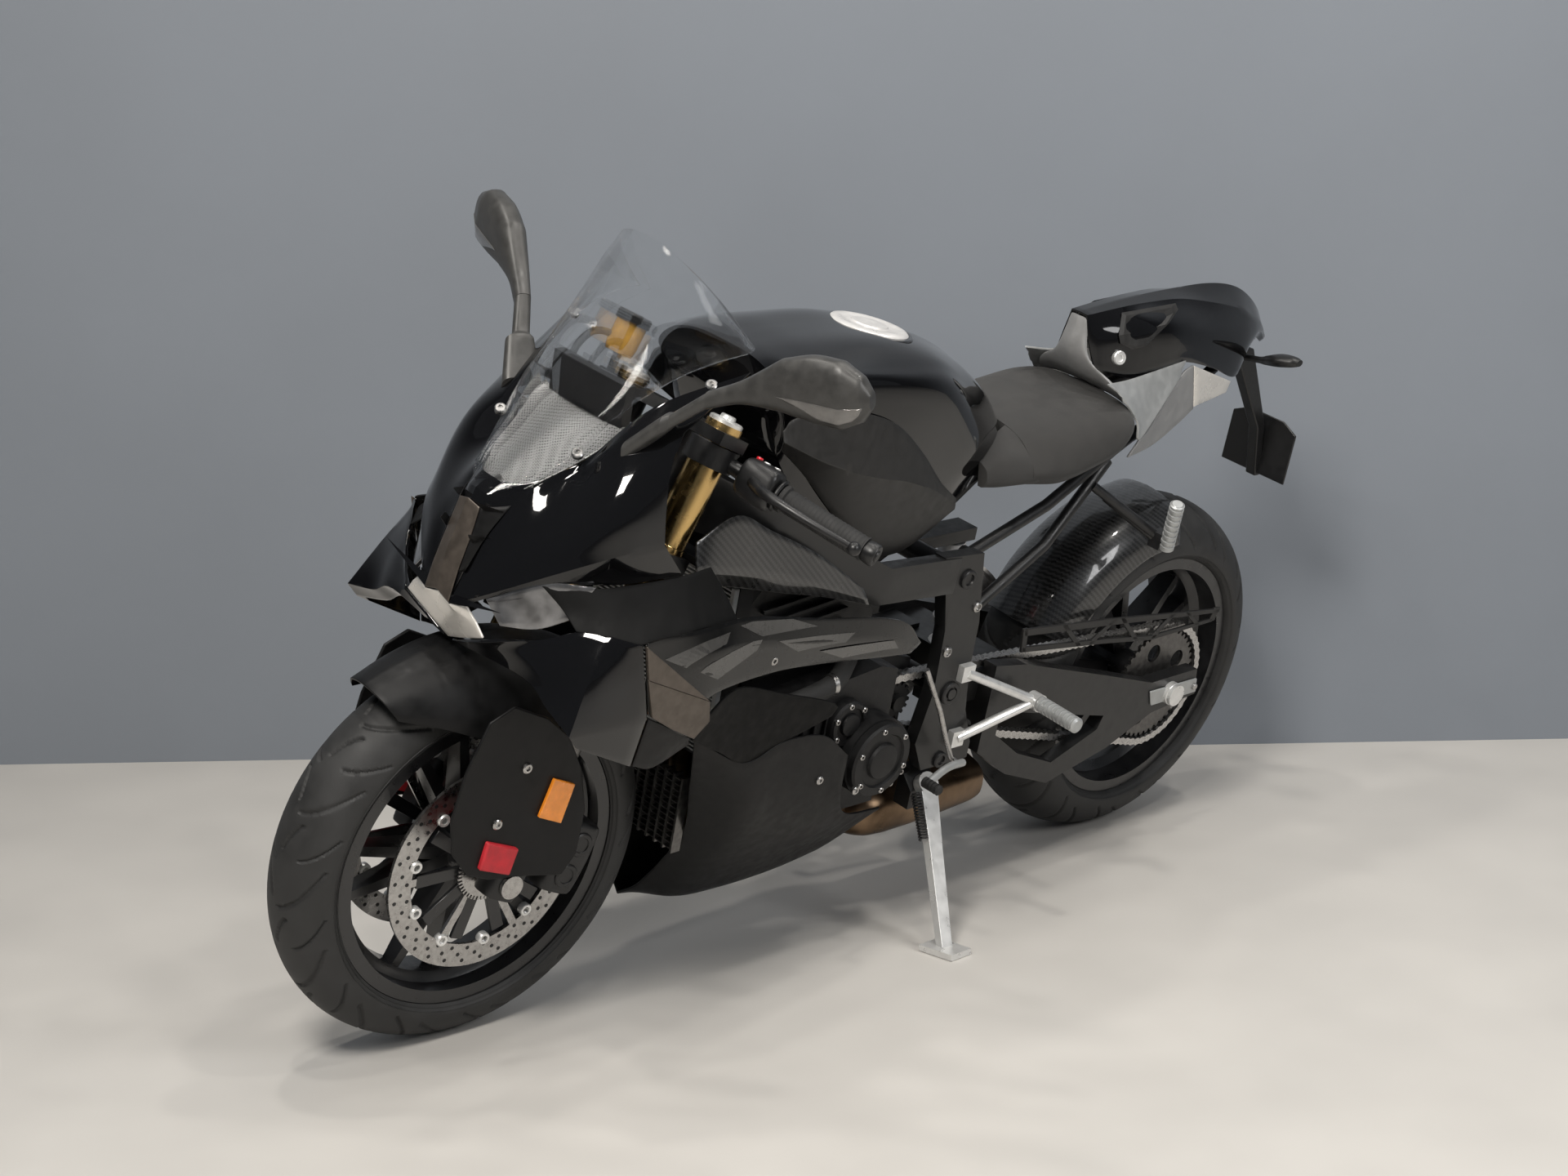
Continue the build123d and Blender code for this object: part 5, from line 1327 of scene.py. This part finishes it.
tail_lamp = [
    [(-150, 0, 996), (-148, 22, 966), (-147, 34, 938)],
    [(-198, 0, 962), (-190, 15, 948), (-187, 21, 936)],
    [(-226, 0, 922), (-224, 8, 920), (-220, 9, 914)],
]
panel("tail_lamp", [[(x - 3.0, y, z + 1.0) for x, y, z in row] for row in tail_lamp], lamp_glass, whole=True,
      wall=2.0)
holder_plate = [(-96, 886), (-96, 902), (-200, 900), (-296, 744), (-322, 640), (-306, 640), (-276, 738),
                (-158, 886)]
plates("plate_stay", [([(x, -11, z) for x, z in holder_plate], (0, 22, 0))], black_metal, round_edge=2.5,
       node="plate_holder")
carrier_plate = [(-72, 646), (72, 646), (72, 742), (40, 758), (-40, 758), (-72, 742)]
plates("plate_carrier", [([(-313, y, z) for y, z in carrier_plate], (4, 0, 0))], black_metal, round_edge=1.5,
       node="plate_holder")
rear_outline = [(-46, 652), (46, 652), (46, 674), (-46, 674)]
plates("rear_reflector", [([(-316, y, z) for y, z in rear_outline], (-4, 0, 0))], red_tag, round_edge=1.5)
turn_lamp = ((-168, 10, 888, 9, 7), (-166, 48, 896, 7, 6), (-164, 66, 902, 12, 9), (-159, 94, 912, 21, 12),
             (-160, 120, 918, 17, 10), (-162, 133, 920, 9, 6))
turn_lens = ((-166, 76, 906, 20, 5), (-166, 100, 913, 22, 6), (-167, 124, 918, 17, 4))
for side, label in SIDES:
    stalk, lens = ([((x, y * side, z), (a, 0, 0), (0, 0, b)) for x, y, z, a, b in table]
                   for table in (turn_lamp, turn_lens))
    loft("turn_lamp_" + label, stalk, black_metal, node="plate_holder")
    loft("turn_lens_" + label, lens, clear_lens)
studs("plate_screws", [(-315, 50, 720), (-315, -50, 720)], (-1, 0, 0), 6, 2.5)

# Stage, lights and camera


def clear_from_behind(material):
    """Lets a view from behind the backdrop through."""
    tree = material.node_tree
    mix = new_node(tree, "MixShader")
    shown = (new_node(tree, "NewGeometry").outputs["Backfacing"], tree.nodes["Principled BSDF"].outputs[0],
             new_node(tree, "BsdfTransparent").outputs[0])
    for socket, value in zip(mix.inputs, shown):
        put(tree, socket, value)
    feed(tree, tree.nodes["Material Output"], Surface=mix.outputs[0])


def stage():
    half = 12.0
    foot, run = np.array([-0.95, 0.61]), np.array([2.134, 2.36])
    left, right = foot - 4 * run, foot + 4 * run
    floor_material = surface("floor_tile", (0.56, 0.54, 0.51), 0.5, vary=0.03, scale=3.0, bump=0.02)
    wall_material = surface("wall_paint", (0.20, 0.22, 0.25), 0.7, vary=0.03, scale=2.0, bump=0.02)
    clear_from_behind(wall_material)
    for name, points, material in (
        ("floor", [(-half, -half, 0), (half, -half, 0), (half, half, 0), (-half, half, 0)], floor_material),
        ("backdrop", [(*left, 0), (*right, 0), (*right, 6), (*left, 6)], wall_material),
    ):
        mesh = bpy.data.meshes.new(name)
        mesh.from_pydata(points, [], [(0, 1, 2, 3)])
        obj = bpy.data.objects.new(name, mesh)
        mesh.materials.append(material)
        bpy.context.collection.objects.link(obj)


def area_light(name, where, target, size, power, color=(1, 1, 1)):
    data = bpy.data.lights.new(name, "AREA")
    data.energy = power
    data.size = size
    data.color = color
    obj = bpy.data.objects.new(name, data)
    obj.location = where
    obj.rotation_euler = (Vector(target) - Vector(where)).to_track_quat("-Z", "Y").to_euler()
    bpy.context.collection.objects.link(obj)


def camera():
    forward = np.array([math.cos(YAW) * math.cos(PITCH), math.sin(YAW) * math.cos(PITCH), -math.sin(PITCH)])
    right = np.array([math.sin(YAW), -math.cos(YAW), 0.0])
    down = np.cross(forward, right)
    across = right * math.cos(ROLL) + down * math.sin(ROLL)
    below = -right * math.sin(ROLL) + down * math.cos(ROLL)
    axes = [turn_to_row(a) for a in (across, -below, -forward)]
    where = SHIFT + turn_to_row(np.array(EYE))
    data = bpy.data.cameras.new("view")
    data.sensor_width = SENSOR_WIDTH
    data.lens = SENSOR_WIDTH * FOCAL_PIXELS / IMAGE_WIDTH
    data.clip_end = 100.0
    obj = bpy.data.objects.new("view", data)
    matrix = Matrix.Identity(4)
    for column, axis in enumerate(axes):
        for row in range(3):
            matrix[row][column] = axis[row]
    for row in range(3):
        matrix[row][3] = where[row]
    obj.matrix_world = matrix
    bpy.context.collection.objects.link(obj)
    bpy.context.scene.camera = obj


stage()
camera()
WARM, COOL = (1.0, 0.96, 0.90), (0.95, 0.97, 1.0)
area_light("key", (1.5, -3.0, 3.6), (0, 0, 0.5), 1.0, 150, WARM)
area_light("fill", (4.0, 0.5, 2.6), (0, 0, 0.6), 1.6, 60)
area_light("rim", (-2.6, 2.0, 3.4), (0, 0, 0.6), 1.2, 95, COOL)
CEILING, SPOT_SIZE, SPOT_POWER = 3.3, 0.16, 13
SPOT_GRID = ((0.2, -1.6), (1.4, -0.6), (0.4, 0.2), (1.6, 0.9), (0.6, 1.6), (-0.6, -0.8))
for number, (x, y) in enumerate(SPOT_GRID):
    area_light(f"ceiling_{number}", (x, y, CEILING), (x, y, 0), SPOT_SIZE, SPOT_POWER, WARM)
world = bpy.data.worlds.new("studio")
bpy.context.scene.world = world
world.use_nodes = True
feed(world.node_tree, world.node_tree.nodes["Background"], Color=(0.80, 0.85, 0.92, 1), Strength=0.13)
bpy.context.scene.view_settings.view_transform = "Standard"
